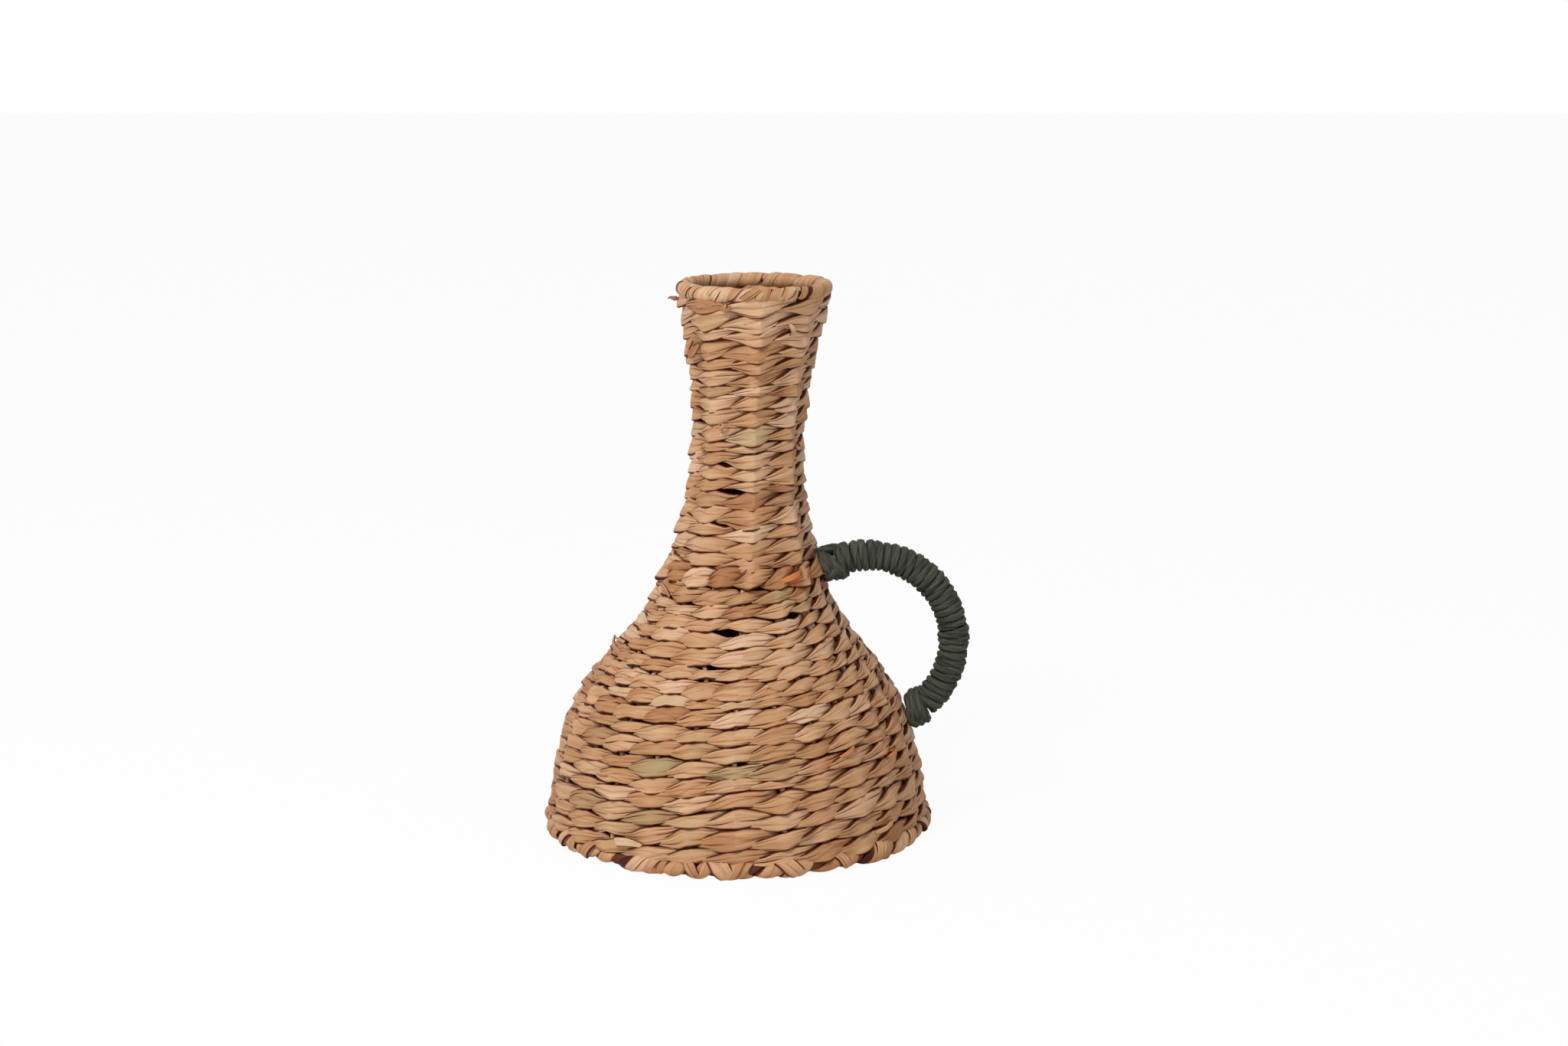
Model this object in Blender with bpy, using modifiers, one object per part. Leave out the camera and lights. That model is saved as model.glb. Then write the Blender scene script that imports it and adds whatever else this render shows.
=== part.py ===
"""Bud vase: dried leaf twined over a wire frame, with a cord-bound side handle.

The vase is a round basket with a wide belly, a slim neck and a flared mouth. Upright ribs of
wire stand on a wrapped base ring. Each course of the weave is a pair of leaf strands that cross
between two ribs and bulge out where one of them passes in front of a rib. The handle is a half
circle of cane, wound with twisted cord and lashed to the wall at both ends.

Units are metres, +Z is up, and the origin is the centre of the foot. Angles round the vase are
counted from the front (-Y) towards the handle (+X).
"""

import math

import bmesh
import bpy
import numpy as np

# Overall height and the rings that end the wall
HEIGHT = 0.250
RIM_TUBE_RADIUS = 0.0028
BASE_TUBE_RADIUS = 0.0034
CLEARANCE = 0.0003

# Rib line: height and radius of the wall's middle surface, from foot to mouth
BASE_RADIUS = 0.0842
LOWER_BELLY_HEIGHT, LOWER_BELLY_RADIUS = 0.034, 0.0800
UPPER_BELLY_HEIGHT, UPPER_BELLY_RADIUS = 0.062, 0.0695
SHOULDER_HEIGHT, SHOULDER_RADIUS = 0.084, 0.0531
NECK_FOOT_HEIGHT, NECK_FOOT_RADIUS = 0.104, 0.0392
LOWER_NECK_HEIGHT, LOWER_NECK_RADIUS = 0.130, 0.0295
WAIST_HEIGHT, WAIST_RADIUS = 0.180, 0.0226
RIM_RADIUS = 0.0316

# The hand-woven neck leans towards the handle above this height
LEAN_START = 0.060
LEAN_AT_RIM = 0.0085

# Wire ribs: eight run from base to rim, the others stop at the shoulder ring
RIB_RADIUS = 0.0012
NECK_RIBS = 8
BODY_RIBS = 26
NECK_RIB_ANGLE = math.radians(5.5)
BODY_RIB_ANGLE = math.radians(1.0)

# Weave: courses, and the strands' depths measured outwards from the rib line
NECK_COURSES = 19
BODY_COURSES = 17
SHOULDER_BAND_HEIGHT = 0.0085
SHOULDER_RING_HEIGHT = 0.1215
STRAND_CROWN = 0.0032
STRAND_VALLEY = 0.0012
STRAND_EDGE = 0.0002
STRAND_FOLD = 0.0004
STRAND_BACK = 0.0015
STRAND_SLANT = 0.18

# Wrapped strip round the rim wire
RIM_WIRE_RADIUS = 0.0016
RIM_WRAP_TURNS = 24
RIM_STRIP_GAP = 0.0007
RIM_WRAP_STEPS = 6

# Base ring: a wire under a wrapped strip whose turns show as lobes
BASE_WRAP_TURNS = 28
BASE_WRAP_RELIEF = 0.0005

# Woven floor inside the base ring
FLOOR_THICKNESS = 0.0036
FLOOR_ROUNDS = 11
FLOOR_RELIEF = 0.0012
FLOOR_STEPS = 24

# Handle: half circle between two seats on the wall
HANDLE_BELOW_RING = 0.0013
HANDLE_TOP_SEAT = SHOULDER_RING_HEIGHT - HANDLE_BELOW_RING
HANDLE_FOOT_SEAT = 0.0518
HANDLE_STANDOFF = 0.0009
HANDLE_THICKNESS = 0.0142
HANDLE_CORD_RADIUS = 0.0016
HANDLE_CORD_GAP = 0.0006
HANDLE_LOOPS = 24
HANDLE_LOOP_POINTS = 10
HANDLE_CORE_STEPS = 24

# Lashings at the handle's ends. The upper one leans away from the wall on the bow's inner side,
# where it stands out most.
LASHING_LENGTH = 0.0118
LASHING_CORD_RADIUS = 0.0017
LOWER_LASHING_LOOPS = 2.0
UPPER_LASHING_LOOPS = 1.5
UPPER_LASHING_LEAN = 0.0012
UPPER_LASHING_SWELL = 0.0006

BODY_RIB_POINTS = 8
NECK_RIB_POINTS = 8
SECTION_SIDES = 6
WIRE_SIDES_RESOLUTION = 0
CORD_SIDES_RESOLUTION = 1


def clear_scene():
    """Remove whatever the file opened with."""
    for item in list(bpy.data.objects):
        bpy.data.objects.remove(item, do_unlink=True)


def new_collection(name):
    collection = bpy.data.collections.new(name)
    bpy.context.scene.collection.children.link(collection)
    return collection


def new_material(name, colour, roughness):
    """A plain Principled material; colour is linear red, green, blue."""
    material = bpy.data.materials.new(name)
    material.use_nodes = True
    shader = material.node_tree.nodes["Principled BSDF"]
    shader.inputs["Base Color"].default_value = (*colour, 1.0)
    shader.inputs["Roughness"].default_value = roughness
    shader.inputs["Metallic"].default_value = 0.0
    return material


def natural_spline(knots, values):
    """Second derivatives of the natural cubic spline through the knots."""
    count = len(knots)
    step = np.diff(knots)
    system = np.eye(count)
    right = np.zeros(count)
    for i in range(1, count - 1):
        system[i, i - 1:i + 2] = step[i - 1], 2.0 * (step[i - 1] + step[i]), step[i]
        rise = (values[i + 1] - values[i]) / step[i] - (values[i] - values[i - 1]) / step[i - 1]
        right[i] = 6.0 * rise
    return np.linalg.solve(system, right)


def spline_at(knots, values, bend, x):
    """Value of the cubic spline at x."""
    i = np.clip(np.searchsorted(knots, x) - 1, 0, len(knots) - 2)
    step = knots[i + 1] - knots[i]
    a = (knots[i + 1] - x) / step
    b = 1.0 - a
    straight = a * values[i] + b * values[i + 1]
    return straight + ((a ** 3 - a) * bend[i] + (b ** 3 - b) * bend[i + 1]) * step ** 2 / 6.0


class RibLine:
    """The wall's middle surface as radius and height along its length, foot to mouth."""

    SAMPLES = 1200

    def __init__(self):
        foot = 2.0 * base_centre_height() + CLEARANCE
        mouth = HEIGHT - 2.0 * RIM_TUBE_RADIUS - CLEARANCE
        stations = (
            (foot, BASE_RADIUS),
            (LOWER_BELLY_HEIGHT, LOWER_BELLY_RADIUS),
            (UPPER_BELLY_HEIGHT, UPPER_BELLY_RADIUS),
            (SHOULDER_HEIGHT, SHOULDER_RADIUS),
            (NECK_FOOT_HEIGHT, NECK_FOOT_RADIUS),
            (LOWER_NECK_HEIGHT, LOWER_NECK_RADIUS),
            (WAIST_HEIGHT, WAIST_RADIUS),
            (mouth, RIM_RADIUS),
        )
        knots, values = np.array(stations).T
        bend = natural_spline(knots, values)
        self.z = np.linspace(foot, mouth, self.SAMPLES)
        self.r = spline_at(knots, values, bend, self.z)
        run = np.hypot(np.diff(self.z), np.diff(self.r))
        self.s = np.concatenate(([0.0], np.cumsum(run)))
        self.length = self.s[-1]
        slope = np.gradient(self.r, self.z)
        size = np.hypot(1.0, slope)
        self.out_r, self.out_z = 1.0 / size, -slope / size
        turned = np.concatenate(([0.0], np.cumsum(np.abs(np.diff(np.arctan(slope))))))
        self.progress = self.s / self.length + turned / turned[-1]

    def length_at(self, height):
        return float(np.interp(height, self.z, self.s))

    def spread(self, low, high, count):
        """Lengths from low to high that lie closer together where the wall bends more."""
        first, last = np.interp((low, high), self.s, self.progress)
        return np.interp(np.linspace(first, last, count), self.progress, self.s)

    def point(self, s, outwards=0.0):
        """Radius and height at length s, moved outwards square to the wall."""
        radius = np.interp(s, self.s, self.r) + outwards * np.interp(s, self.s, self.out_r)
        height = np.interp(s, self.s, self.z) + outwards * np.interp(s, self.s, self.out_z)
        return float(radius), float(height)


def base_centre_height():
    """Height of the base ring's centre: its hexagonal section stands on a flat side."""
    return BASE_TUBE_RADIUS * math.cos(math.pi / SECTION_SIDES)


def lean_at(height):
    """Sideways drift of the wall's axis."""
    share = (height - LEAN_START) / (HEIGHT - LEAN_START)
    return LEAN_AT_RIM * min(max(share, 0.0), 1.0)


def on_wall(angle, radius, height):
    """World point at an angle from the front, a radius from the leaning axis and a height."""
    return (radius * math.sin(angle) + lean_at(height), -radius * math.cos(angle), height)


def neck_angles():
    return [NECK_RIB_ANGLE + 2.0 * math.pi * k / NECK_RIBS for k in range(NECK_RIBS)]


def body_angles():
    return [BODY_RIB_ANGLE + 2.0 * math.pi * k / BODY_RIBS for k in range(BODY_RIBS)]


def mesh_object(name, vertices, faces, material, collection):
    """A closed mesh object whose faces all point out."""
    mesh = bpy.data.meshes.new(name)
    mesh.from_pydata(vertices, [], faces)
    shell = bmesh.new()
    shell.from_mesh(mesh)
    bmesh.ops.recalc_face_normals(shell, faces=shell.faces)
    shell.to_mesh(mesh)
    shell.free()
    mesh.shade_smooth()
    mesh.set_sharp_from_angle(angle=math.radians(40.0))
    mesh.materials.append(material)
    item = bpy.data.objects.new(name, mesh)
    collection.objects.link(item)
    return item


def loft(name, sections, closed, material, collection):
    """Skin between sections with the same number of points; an open loft gets end caps."""
    count, sides = len(sections), len(sections[0])
    vertices = [point for section in sections for point in section]
    faces = []
    for i in range(count if closed else count - 1):
        this, following = i * sides, (i + 1) % count * sides
        for j in range(sides):
            k = (j + 1) % sides
            faces.append((this + j, this + k, following + k, following + j))
    if not closed:
        faces.append(tuple(range(sides)))
        faces.append(tuple(range((count - 1) * sides, count * sides)))
    return mesh_object(name, vertices, faces, material, collection)


def wire_curve(name, runs, radius, resolution, material, collection, cyclic=False):
    """Round wire along each list of points, as one curve object with filled caps."""
    curve = bpy.data.curves.new(name, "CURVE")
    curve.dimensions = "3D"
    curve.bevel_depth = radius
    curve.bevel_resolution = resolution
    curve.use_fill_caps = not cyclic
    for points in runs:
        spline = curve.splines.new("POLY")
        spline.points.add(len(points) - 1)
        for target, point in zip(spline.points, points):
            target.co = (*point, 1.0)
        spline.use_cyclic_u = cyclic
    curve.materials.append(material)
    item = bpy.data.objects.new(name, curve)
    collection.objects.link(item)
    return item


def curve_to_mesh(item, collection):
    """Replace a curve by its mesh, with the caps welded on."""
    graph = bpy.context.evaluated_depsgraph_get()
    mesh = bpy.data.meshes.new_from_object(item.evaluated_get(graph))
    shell = bmesh.new()
    shell.from_mesh(mesh)
    bmesh.ops.remove_doubles(shell, verts=shell.verts, dist=0.00001)
    bmesh.ops.recalc_face_normals(shell, faces=shell.faces)
    shell.to_mesh(mesh)
    shell.free()
    solid = bpy.data.objects.new(item.name + "_solid", mesh)
    solid.matrix_world = item.matrix_world
    collection.objects.link(solid)
    bpy.data.objects.remove(item, do_unlink=True)
    return solid


def rib_seat(width, depth):
    """Depth of a strand's back face over a rib, so that it clears the rib by CLEARANCE.

    The face falls in a straight line from this depth at the rib to `depth` below the rib line,
    a width away. The value is where the line's distance from the rib's centre is the rib's
    radius and the clearance.
    """
    reach = RIB_RADIUS + CLEARANCE
    root = math.sqrt(width ** 2 + depth ** 2 - reach ** 2)
    return (reach ** 2 * depth + reach * width * root) / (width ** 2 - reach ** 2)


def course_sections(line, middle, height, angles):
    """Sections of one course: a crown over each rib and a slanting valley after it."""
    count = len(angles)
    half = math.pi / count
    slant = STRAND_SLANT * 2.0 * half
    bottom, top = middle - height / 2.0, middle + height / 2.0
    radius = line.point(middle)[0]
    chord = radius * math.cos(half)
    width = radius * math.sin(half)
    near = width - chord * math.tan(slant)
    edge_seat = rib_seat(near, -STRAND_EDGE)
    back_seat = rib_seat(width, STRAND_BACK)

    def flat_point(angle, from_middle, s, outwards):
        """Point on the straight run between two ribs, at an angle from the run's middle."""
        along = math.cos(half) / math.cos(from_middle)
        rib_radius = line.point(s)[0]
        moved_radius, z = line.point(s, outwards)
        return on_wall(angle + from_middle, moved_radius - rib_radius * (1.0 - along), z)

    sections = []
    for angle in angles:
        sections.append([
            on_wall(angle, *line.point(middle, STRAND_CROWN)),
            on_wall(angle, *line.point(top, edge_seat + STRAND_FOLD)),
            on_wall(angle, *line.point(middle, back_seat)),
            on_wall(angle, *line.point(bottom, edge_seat + STRAND_FOLD)),
        ])
        between = angle + half
        sections.append([
            flat_point(between, 0.0, middle, STRAND_VALLEY),
            flat_point(between, slant, top, STRAND_EDGE),
            flat_point(between, 0.0, middle, -STRAND_BACK),
            flat_point(between, -slant, bottom, STRAND_EDGE),
        ])
    return sections


def build_courses(line, prefix, low, high, count, angles, material, collection):
    """Equal courses between two lengths along the rib line, numbered from the bottom."""
    pitch = (high - low) / count
    for i in range(count):
        middle = low + (i + 0.5) * pitch
        sections = course_sections(line, middle, pitch - CLEARANCE, angles)
        loft(f"{prefix}_{i + 1:02d}", sections, True, material, collection)


def build_shoulder_band(line, low, high, material, collection):
    """Twisted band over the shoulder ring, between the body's and the neck's weave."""
    middle = (low + high) / 2.0
    half_height = (high - low - CLEARANCE) / 2.0
    count = BODY_RIBS
    sag = line.point(middle)[0] * (1.0 - math.cos(math.pi / count))
    seat = RIB_RADIUS + CLEARANCE + sag
    sections = []
    for i in range(count):
        angle = BODY_RIB_ANGLE + 2.0 * math.pi * i / count
        crown = STRAND_CROWN if i % 2 else (STRAND_CROWN + seat) / 2.0
        sections.append([
            on_wall(angle, *line.point(middle, crown)),
            on_wall(angle, *line.point(middle + half_height, seat)),
            on_wall(angle, *line.point(middle, seat)),
            on_wall(angle, *line.point(middle - half_height, seat)),
        ])
    return loft("shoulder_band", sections, True, material, collection)


def nearest_body_rib(angle):
    """Angle of the body rib that carries on from a neck rib."""
    step = 2.0 * math.pi / BODY_RIBS
    return BODY_RIB_ANGLE + step * round((angle - BODY_RIB_ANGLE) / step)


def rib_points(line, lengths, angle_at):
    return [on_wall(angle_at(s), *line.point(s)) for s in lengths]


def build_wire_frame(line, band_low, band_high, material, collection, cutters):
    """Ribs and shoulder ring, welded to one another."""
    ring_s = line.length_at(SHOULDER_RING_HEIGHT)
    ring_angles = [2.0 * math.pi * k / BODY_RIBS for k in range(BODY_RIBS)]
    ring_points = [on_wall(a, *line.point(ring_s)) for a in ring_angles]
    frame = wire_curve("wire_frame", [ring_points], RIB_RADIUS, WIRE_SIDES_RESOLUTION,
                       material, collection, cyclic=True)
    frame = curve_to_mesh(frame, collection)
    frame.name = "wire_frame"

    body_lengths = line.spread(0.0, band_low, BODY_RIB_POINTS)
    neck_lengths = line.spread(band_high, line.length, NECK_RIB_POINTS)
    carried_on = []
    for angle in neck_angles():
        below = nearest_body_rib(angle)
        carried_on.append(below)
        points = rib_points(line, body_lengths, lambda s, a=below: a)
        points += rib_points(line, neck_lengths, lambda s, a=angle: a)
        rib = wire_curve("rib", [points], RIB_RADIUS, WIRE_SIDES_RESOLUTION, material, cutters)
        curve_to_mesh(rib, cutters)
    for angle in body_angles():
        turns = [(angle - other) / (2.0 * math.pi) for other in carried_on]
        if any(abs(turn - round(turn)) < 0.25 / BODY_RIBS for turn in turns):
            continue
        points = rib_points(line, [*body_lengths, ring_s], lambda s, a=angle: a)
        rib = wire_curve("rib", [points], RIB_RADIUS, WIRE_SIDES_RESOLUTION, material, cutters)
        curve_to_mesh(rib, cutters)
    for rib in cutters.objects:
        rib.hide_render = True
        rib.display_type = "WIRE"
    weld = frame.modifiers.new("weld_ribs", "BOOLEAN")
    weld.operation = "UNION"
    weld.solver = "EXACT"
    weld.operand_type = "COLLECTION"
    weld.collection = cutters
    return frame


def ring_section(angle, ring_radius, height, tube_radius, phase):
    """Six-sided section of a ring that stands on a flat side."""
    points = []
    for j in range(SECTION_SIDES):
        turn = 2.0 * math.pi * (j + 0.5) / SECTION_SIDES + phase
        radius = ring_radius + tube_radius(turn) * math.sin(turn)
        points.append(on_wall(angle, radius, height + tube_radius(turn) * math.cos(turn)))
    return points


def least_gap(sections, loop_points):
    """Least distance between a wound tube's own surfaces, half a loop or more apart.

    Measured between the sections' corners and the middles of the edges that join them.
    """
    corners = np.array(sections)
    middles = (corners[:-1] + corners[1:]) / 2.0
    sides = (corners + np.roll(corners, 1, axis=1)) / 2.0
    order = np.arange(len(corners), dtype=float)
    places = np.concatenate([corners, middles, sides]).reshape(-1, 3)
    along = np.repeat(np.concatenate([order, order[:-1] + 0.5, order]), corners.shape[1])
    least = math.inf
    for place, at in zip(places, along):
        other = np.abs(along - at) >= loop_points / 2.0
        least = min(least, float(np.linalg.norm(places[other] - place, axis=1).min()))
    return least


def print_gap(name, loops, sections, loop_points):
    gap = least_gap(sections, loop_points) * 1000.0
    print(f"{name}: {loops} loops, least gap to itself {gap:.2f} mm")


def build_rim(material_wire, material_leaf, collection):
    """Rim wire, and the leaf strip wound round it with a gap between turns."""
    height = HEIGHT - RIM_TUBE_RADIUS
    steps = RIM_WRAP_TURNS
    wire = [ring_section(2.0 * math.pi * i / steps, RIM_RADIUS, height,
                         lambda turn: RIM_WIRE_RADIUS, 0.0) for i in range(steps)]
    loft("rim_wire", wire, True, material_wire, collection)

    pitch = 2.0 * math.pi / RIM_WRAP_TURNS
    half_width = (pitch - RIM_STRIP_GAP / RIM_RADIUS) / 2.0
    facet = math.cos(math.pi / RIM_WRAP_STEPS)
    inner = (RIM_WIRE_RADIUS + CLEARANCE) / facet
    sections = []
    for i in range(RIM_WRAP_TURNS * RIM_WRAP_STEPS):
        angle = pitch * i / RIM_WRAP_STEPS
        turn = 2.0 * math.pi * i / RIM_WRAP_STEPS
        corners = ((-half_width, inner), (half_width, inner),
                   (half_width, RIM_TUBE_RADIUS), (-half_width, RIM_TUBE_RADIUS))
        section = []
        for sideways, tube in corners:
            radius = RIM_RADIUS + tube * math.sin(turn)
            section.append(on_wall(angle + sideways, radius, height + tube * math.cos(turn)))
        sections.append(section)
    print_gap("rim_wrap", RIM_WRAP_TURNS, sections, RIM_WRAP_STEPS)
    loft("rim_wrap", sections, False, material_leaf, collection)


def build_base_ring(material, collection):
    """Wrapped base ring, whose turns are slanting lobes; its under side is flat."""
    steps = 2 * BASE_WRAP_TURNS
    sections = []
    for i in range(steps):
        angle = 2.0 * math.pi * i / steps

        def tube_radius(turn, swell=i % 2):
            under = math.cos(turn) < -0.5
            return BASE_TUBE_RADIUS - (0.0 if under or swell else BASE_WRAP_RELIEF)

        sections.append(ring_section(angle, BASE_RADIUS, base_centre_height(), tube_radius, 0.0))
    return loft("base_ring", sections, True, material, collection)


def build_floor(material, collection):
    """Woven floor: a disc with a flat under side and one ridge for each round of the weave."""
    edge = BASE_RADIUS - BASE_TUBE_RADIUS - CLEARANCE
    pitch = edge / FLOOR_ROUNDS
    profile = [(0.0, FLOOR_THICKNESS - FLOOR_RELIEF)]
    for i in range(FLOOR_ROUNDS):
        profile.append((pitch * (i + 0.5), FLOOR_THICKNESS))
        profile.append((pitch * (i + 1), FLOOR_THICKNESS - FLOOR_RELIEF))
    profile.append((edge, 0.0))
    profile.append((0.0, 0.0))

    mesh = bpy.data.meshes.new("floor_weave")
    vertices = [(radius, 0.0, height) for radius, height in profile]
    edges = [(i, i + 1) for i in range(len(vertices) - 1)]
    mesh.from_pydata(vertices, edges, [])
    mesh.materials.append(material)
    floor = bpy.data.objects.new("floor_weave", mesh)
    collection.objects.link(floor)
    turn = floor.modifiers.new("turn", "SCREW")
    turn.axis = "Z"
    turn.angle = 2.0 * math.pi
    turn.steps = FLOOR_STEPS
    turn.render_steps = FLOOR_STEPS
    turn.use_merge_vertices = True
    turn.merge_threshold = 0.00001
    turn.use_normal_flip = False
    return floor


class HandleArc:
    """Half circle in the XZ plane between two seats on the wall's outer face."""

    def __init__(self, line):
        top = self.seat(line, HANDLE_TOP_SEAT)
        foot = self.seat(line, HANDLE_FOOT_SEAT)
        self.centre = (top + foot) / 2.0
        self.radius = float(np.linalg.norm(top - foot)) / 2.0
        self.start = math.atan2(*(foot - self.centre)[::-1])
        self.length = math.pi * self.radius

    @staticmethod
    def seat(line, height):
        """Point just off the outer face of the wall, at a height."""
        s = line.length_at(height)
        for _ in range(8):
            radius, z = line.point(s, STRAND_CROWN + HANDLE_STANDOFF)
            s += height - z
        return np.array((radius + lean_at(z), z))

    def point(self, run, outwards=0.0, forwards=0.0):
        """World point at a run from the lower seat, away from the arc's centre and from Y=0."""
        angle = self.start + run / self.radius
        reach = self.radius + outwards
        return (self.centre[0] + reach * math.cos(angle), -forwards,
                self.centre[1] + reach * math.sin(angle))


def wound_sections(arc, run_start, run_end, loops, winding_radius, half_width, half_depth,
                   lean=0.0, swell=0.0):
    """Sections of a cord wound round the arc, with a straight cord diameter at both ends.

    A section is an oval, half_width along the arc and half_depth away from the core. Its width
    is measured on the arc's centre line, so turns narrow on the inside of the bend, as a
    pressed cord does. In front a turn comes from the bow's outer side and goes towards the
    lower end. Twice the lean and the swell move a turn on the bow's inner side, along the bow
    and off it.
    """
    total = round(loops * HANDLE_LOOP_POINTS)
    sections = []
    for i in range(total + 1):
        turn = 2.0 * math.pi * i / HANDLE_LOOP_POINTS
        inner = 1.0 - math.cos(turn)
        run = run_start + (run_end - run_start) * i / total + lean * inner
        section = []
        for j in range(SECTION_SIDES):
            around = 2.0 * math.pi * j / SECTION_SIDES
            away = winding_radius + swell * inner + half_depth * math.sin(around)
            section.append(arc.point(run + half_width * math.cos(around),
                                     away * math.cos(turn), -away * math.sin(turn)))
        sections.append(np.array(section))
    first = sections[0].mean(axis=0) - sections[1].mean(axis=0)
    last = sections[-1].mean(axis=0) - sections[-2].mean(axis=0)
    straight = 2.0 * half_depth
    sections.insert(0, sections[0] + first / np.linalg.norm(first) * straight)
    sections.append(sections[-1] + last / np.linalg.norm(last) * straight)
    return sections


def build_winding(name, arc, run_start, run_end, loops, winding_radius, half_width, half_depth,
                  material, collection, lean=0.0, swell=0.0):
    """One wound cord as an unbroken tube, with its least gap to itself printed."""
    sections = wound_sections(arc, run_start, run_end, loops, winding_radius, half_width,
                              half_depth, lean, swell)
    print_gap(name, loops, sections, HANDLE_LOOP_POINTS)
    loft(name, [[tuple(point) for point in section] for section in sections], False, material,
         collection)


def build_handle(line, material_core, material_cord, collection):
    """Cane core, cord winding and the two lashings."""
    arc = HandleArc(line)
    facet = math.cos(math.pi / HANDLE_LOOP_POINTS)
    winding_radius = HANDLE_THICKNESS / 2.0 - HANDLE_CORD_RADIUS
    core_radius = winding_radius * facet - HANDLE_CORD_RADIUS - CLEARANCE
    core = [arc.point(arc.length * i / HANDLE_CORE_STEPS) for i in range(HANDLE_CORE_STEPS + 1)]
    wire_curve("handle_core", [core], core_radius, CORD_SIDES_RESOLUTION, material_core,
               collection)

    pitch = (arc.length - 2.0 * LASHING_LENGTH - CLEARANCE) / (HANDLE_LOOPS + 1)
    half_width = (pitch - HANDLE_CORD_GAP) / 2.0
    start = LASHING_LENGTH + CLEARANCE + half_width
    build_winding("handle_winding", arc, start, arc.length - start, HANDLE_LOOPS,
                  winding_radius, half_width, HANDLE_CORD_RADIUS, material_cord, collection)

    lashing_radius = (core_radius + CLEARANCE + LASHING_CORD_RADIUS) / facet
    near, far = LASHING_CORD_RADIUS, LASHING_LENGTH - LASHING_CORD_RADIUS
    build_winding("lashing_lower", arc, near, far, LOWER_LASHING_LOOPS, lashing_radius,
                  LASHING_CORD_RADIUS, LASHING_CORD_RADIUS, material_cord, collection)
    far -= 2.0 * UPPER_LASHING_LEAN
    build_winding("lashing_upper", arc, arc.length - near, arc.length - far,
                  UPPER_LASHING_LOOPS, lashing_radius, LASHING_CORD_RADIUS, LASHING_CORD_RADIUS,
                  material_cord, collection, -UPPER_LASHING_LEAN, UPPER_LASHING_SWELL)


def main():
    clear_scene()
    vase = new_collection("bud_vase")
    cutters = new_collection("welded_ribs")
    leaf = new_material("dried_leaf", (0.48, 0.30, 0.16), 0.6)
    wire = new_material("frame_wire", (0.45, 0.33, 0.21), 0.5)
    cane = new_material("handle_cane", (0.35, 0.25, 0.15), 0.7)
    cord = new_material("paper_cord", (0.045, 0.05, 0.04), 0.85)

    line = RibLine()
    ring_s = line.length_at(SHOULDER_RING_HEIGHT)
    band_low = ring_s - SHOULDER_BAND_HEIGHT / 2.0
    band_high = ring_s + SHOULDER_BAND_HEIGHT / 2.0

    build_base_ring(leaf, vase)
    build_floor(leaf, vase)
    build_wire_frame(line, band_low, band_high, wire, vase, cutters)
    build_courses(line, "body_course", 0.0, band_low, BODY_COURSES, body_angles(), leaf, vase)
    build_shoulder_band(line, band_low, band_high, leaf, vase)
    build_courses(line, "neck_course", band_high, line.length, NECK_COURSES, neck_angles(),
                  leaf, vase)
    build_rim(wire, leaf, vase)
    build_handle(line, cane, cord, vase)


main()
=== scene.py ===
"""Looks of a bud vase: dried leaf twined over wire, wound rings and a cord-bound side handle.

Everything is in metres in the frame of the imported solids: +Z is up, the foot stands on Z=0 and
the handle points to +X. Angles round the vase are counted from the front (-Y) towards the
handle. Places on the wall are given as an angle, a length up the rib line and a distance
outwards from it.
"""

import math
from typing import NamedTuple

import bpy
import numpy as np
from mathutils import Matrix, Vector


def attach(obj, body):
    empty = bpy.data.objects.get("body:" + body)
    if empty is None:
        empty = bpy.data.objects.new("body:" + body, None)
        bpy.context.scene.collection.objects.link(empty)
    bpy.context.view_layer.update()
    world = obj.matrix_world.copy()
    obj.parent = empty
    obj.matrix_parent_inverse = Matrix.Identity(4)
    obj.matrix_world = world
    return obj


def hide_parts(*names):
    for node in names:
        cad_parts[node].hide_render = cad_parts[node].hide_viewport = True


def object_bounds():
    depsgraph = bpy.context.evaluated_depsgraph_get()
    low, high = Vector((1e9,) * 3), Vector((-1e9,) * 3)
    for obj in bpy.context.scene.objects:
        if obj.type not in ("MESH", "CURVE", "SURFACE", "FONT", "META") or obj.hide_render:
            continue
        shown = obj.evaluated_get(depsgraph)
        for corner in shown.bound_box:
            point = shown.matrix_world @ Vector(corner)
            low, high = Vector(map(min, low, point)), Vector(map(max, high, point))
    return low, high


bl_info = {
    "name": "Twined Bud Vase",
    "version": (1, 0, 0),
    "blender": (4, 5, 0),
    "location": "3D View > Sidebar > Bud Vase",
    "description": "Leaf weave, wound rings and cord handle of a bud vase",
    "category": "Add Mesh",
}

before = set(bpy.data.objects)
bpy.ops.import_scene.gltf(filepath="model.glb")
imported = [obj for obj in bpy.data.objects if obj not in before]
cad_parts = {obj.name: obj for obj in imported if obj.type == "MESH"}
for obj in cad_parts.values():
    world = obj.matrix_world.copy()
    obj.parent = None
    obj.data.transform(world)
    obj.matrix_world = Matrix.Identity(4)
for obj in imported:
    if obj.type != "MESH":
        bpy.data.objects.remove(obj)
CAD_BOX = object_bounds()

MM = 0.001
HEIGHT = CAD_BOX[1].z
FULL_TURN = 2.0 * math.pi

# Rib line as in the solids: height and radius of the wall's middle surface, in millimetres
RIB_LINE = ((6.189, 84.2), (34.0, 80.0), (62.0, 69.5), (84.0, 53.1), (104.0, 39.2),
            (130.0, 29.5), (180.0, 22.6), (244.1, 31.6))
LEAN_START = 0.060
LEAN_AT_RIM = 0.0085

RIB_RADIUS = 0.0012
NECK_RIBS = 8
BODY_RIBS = 26
NECK_RIB_ANGLE = math.radians(5.5)
BODY_RIB_ANGLE = math.radians(1.0)
NECK_COURSES = 19
BODY_COURSES = 17

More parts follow.
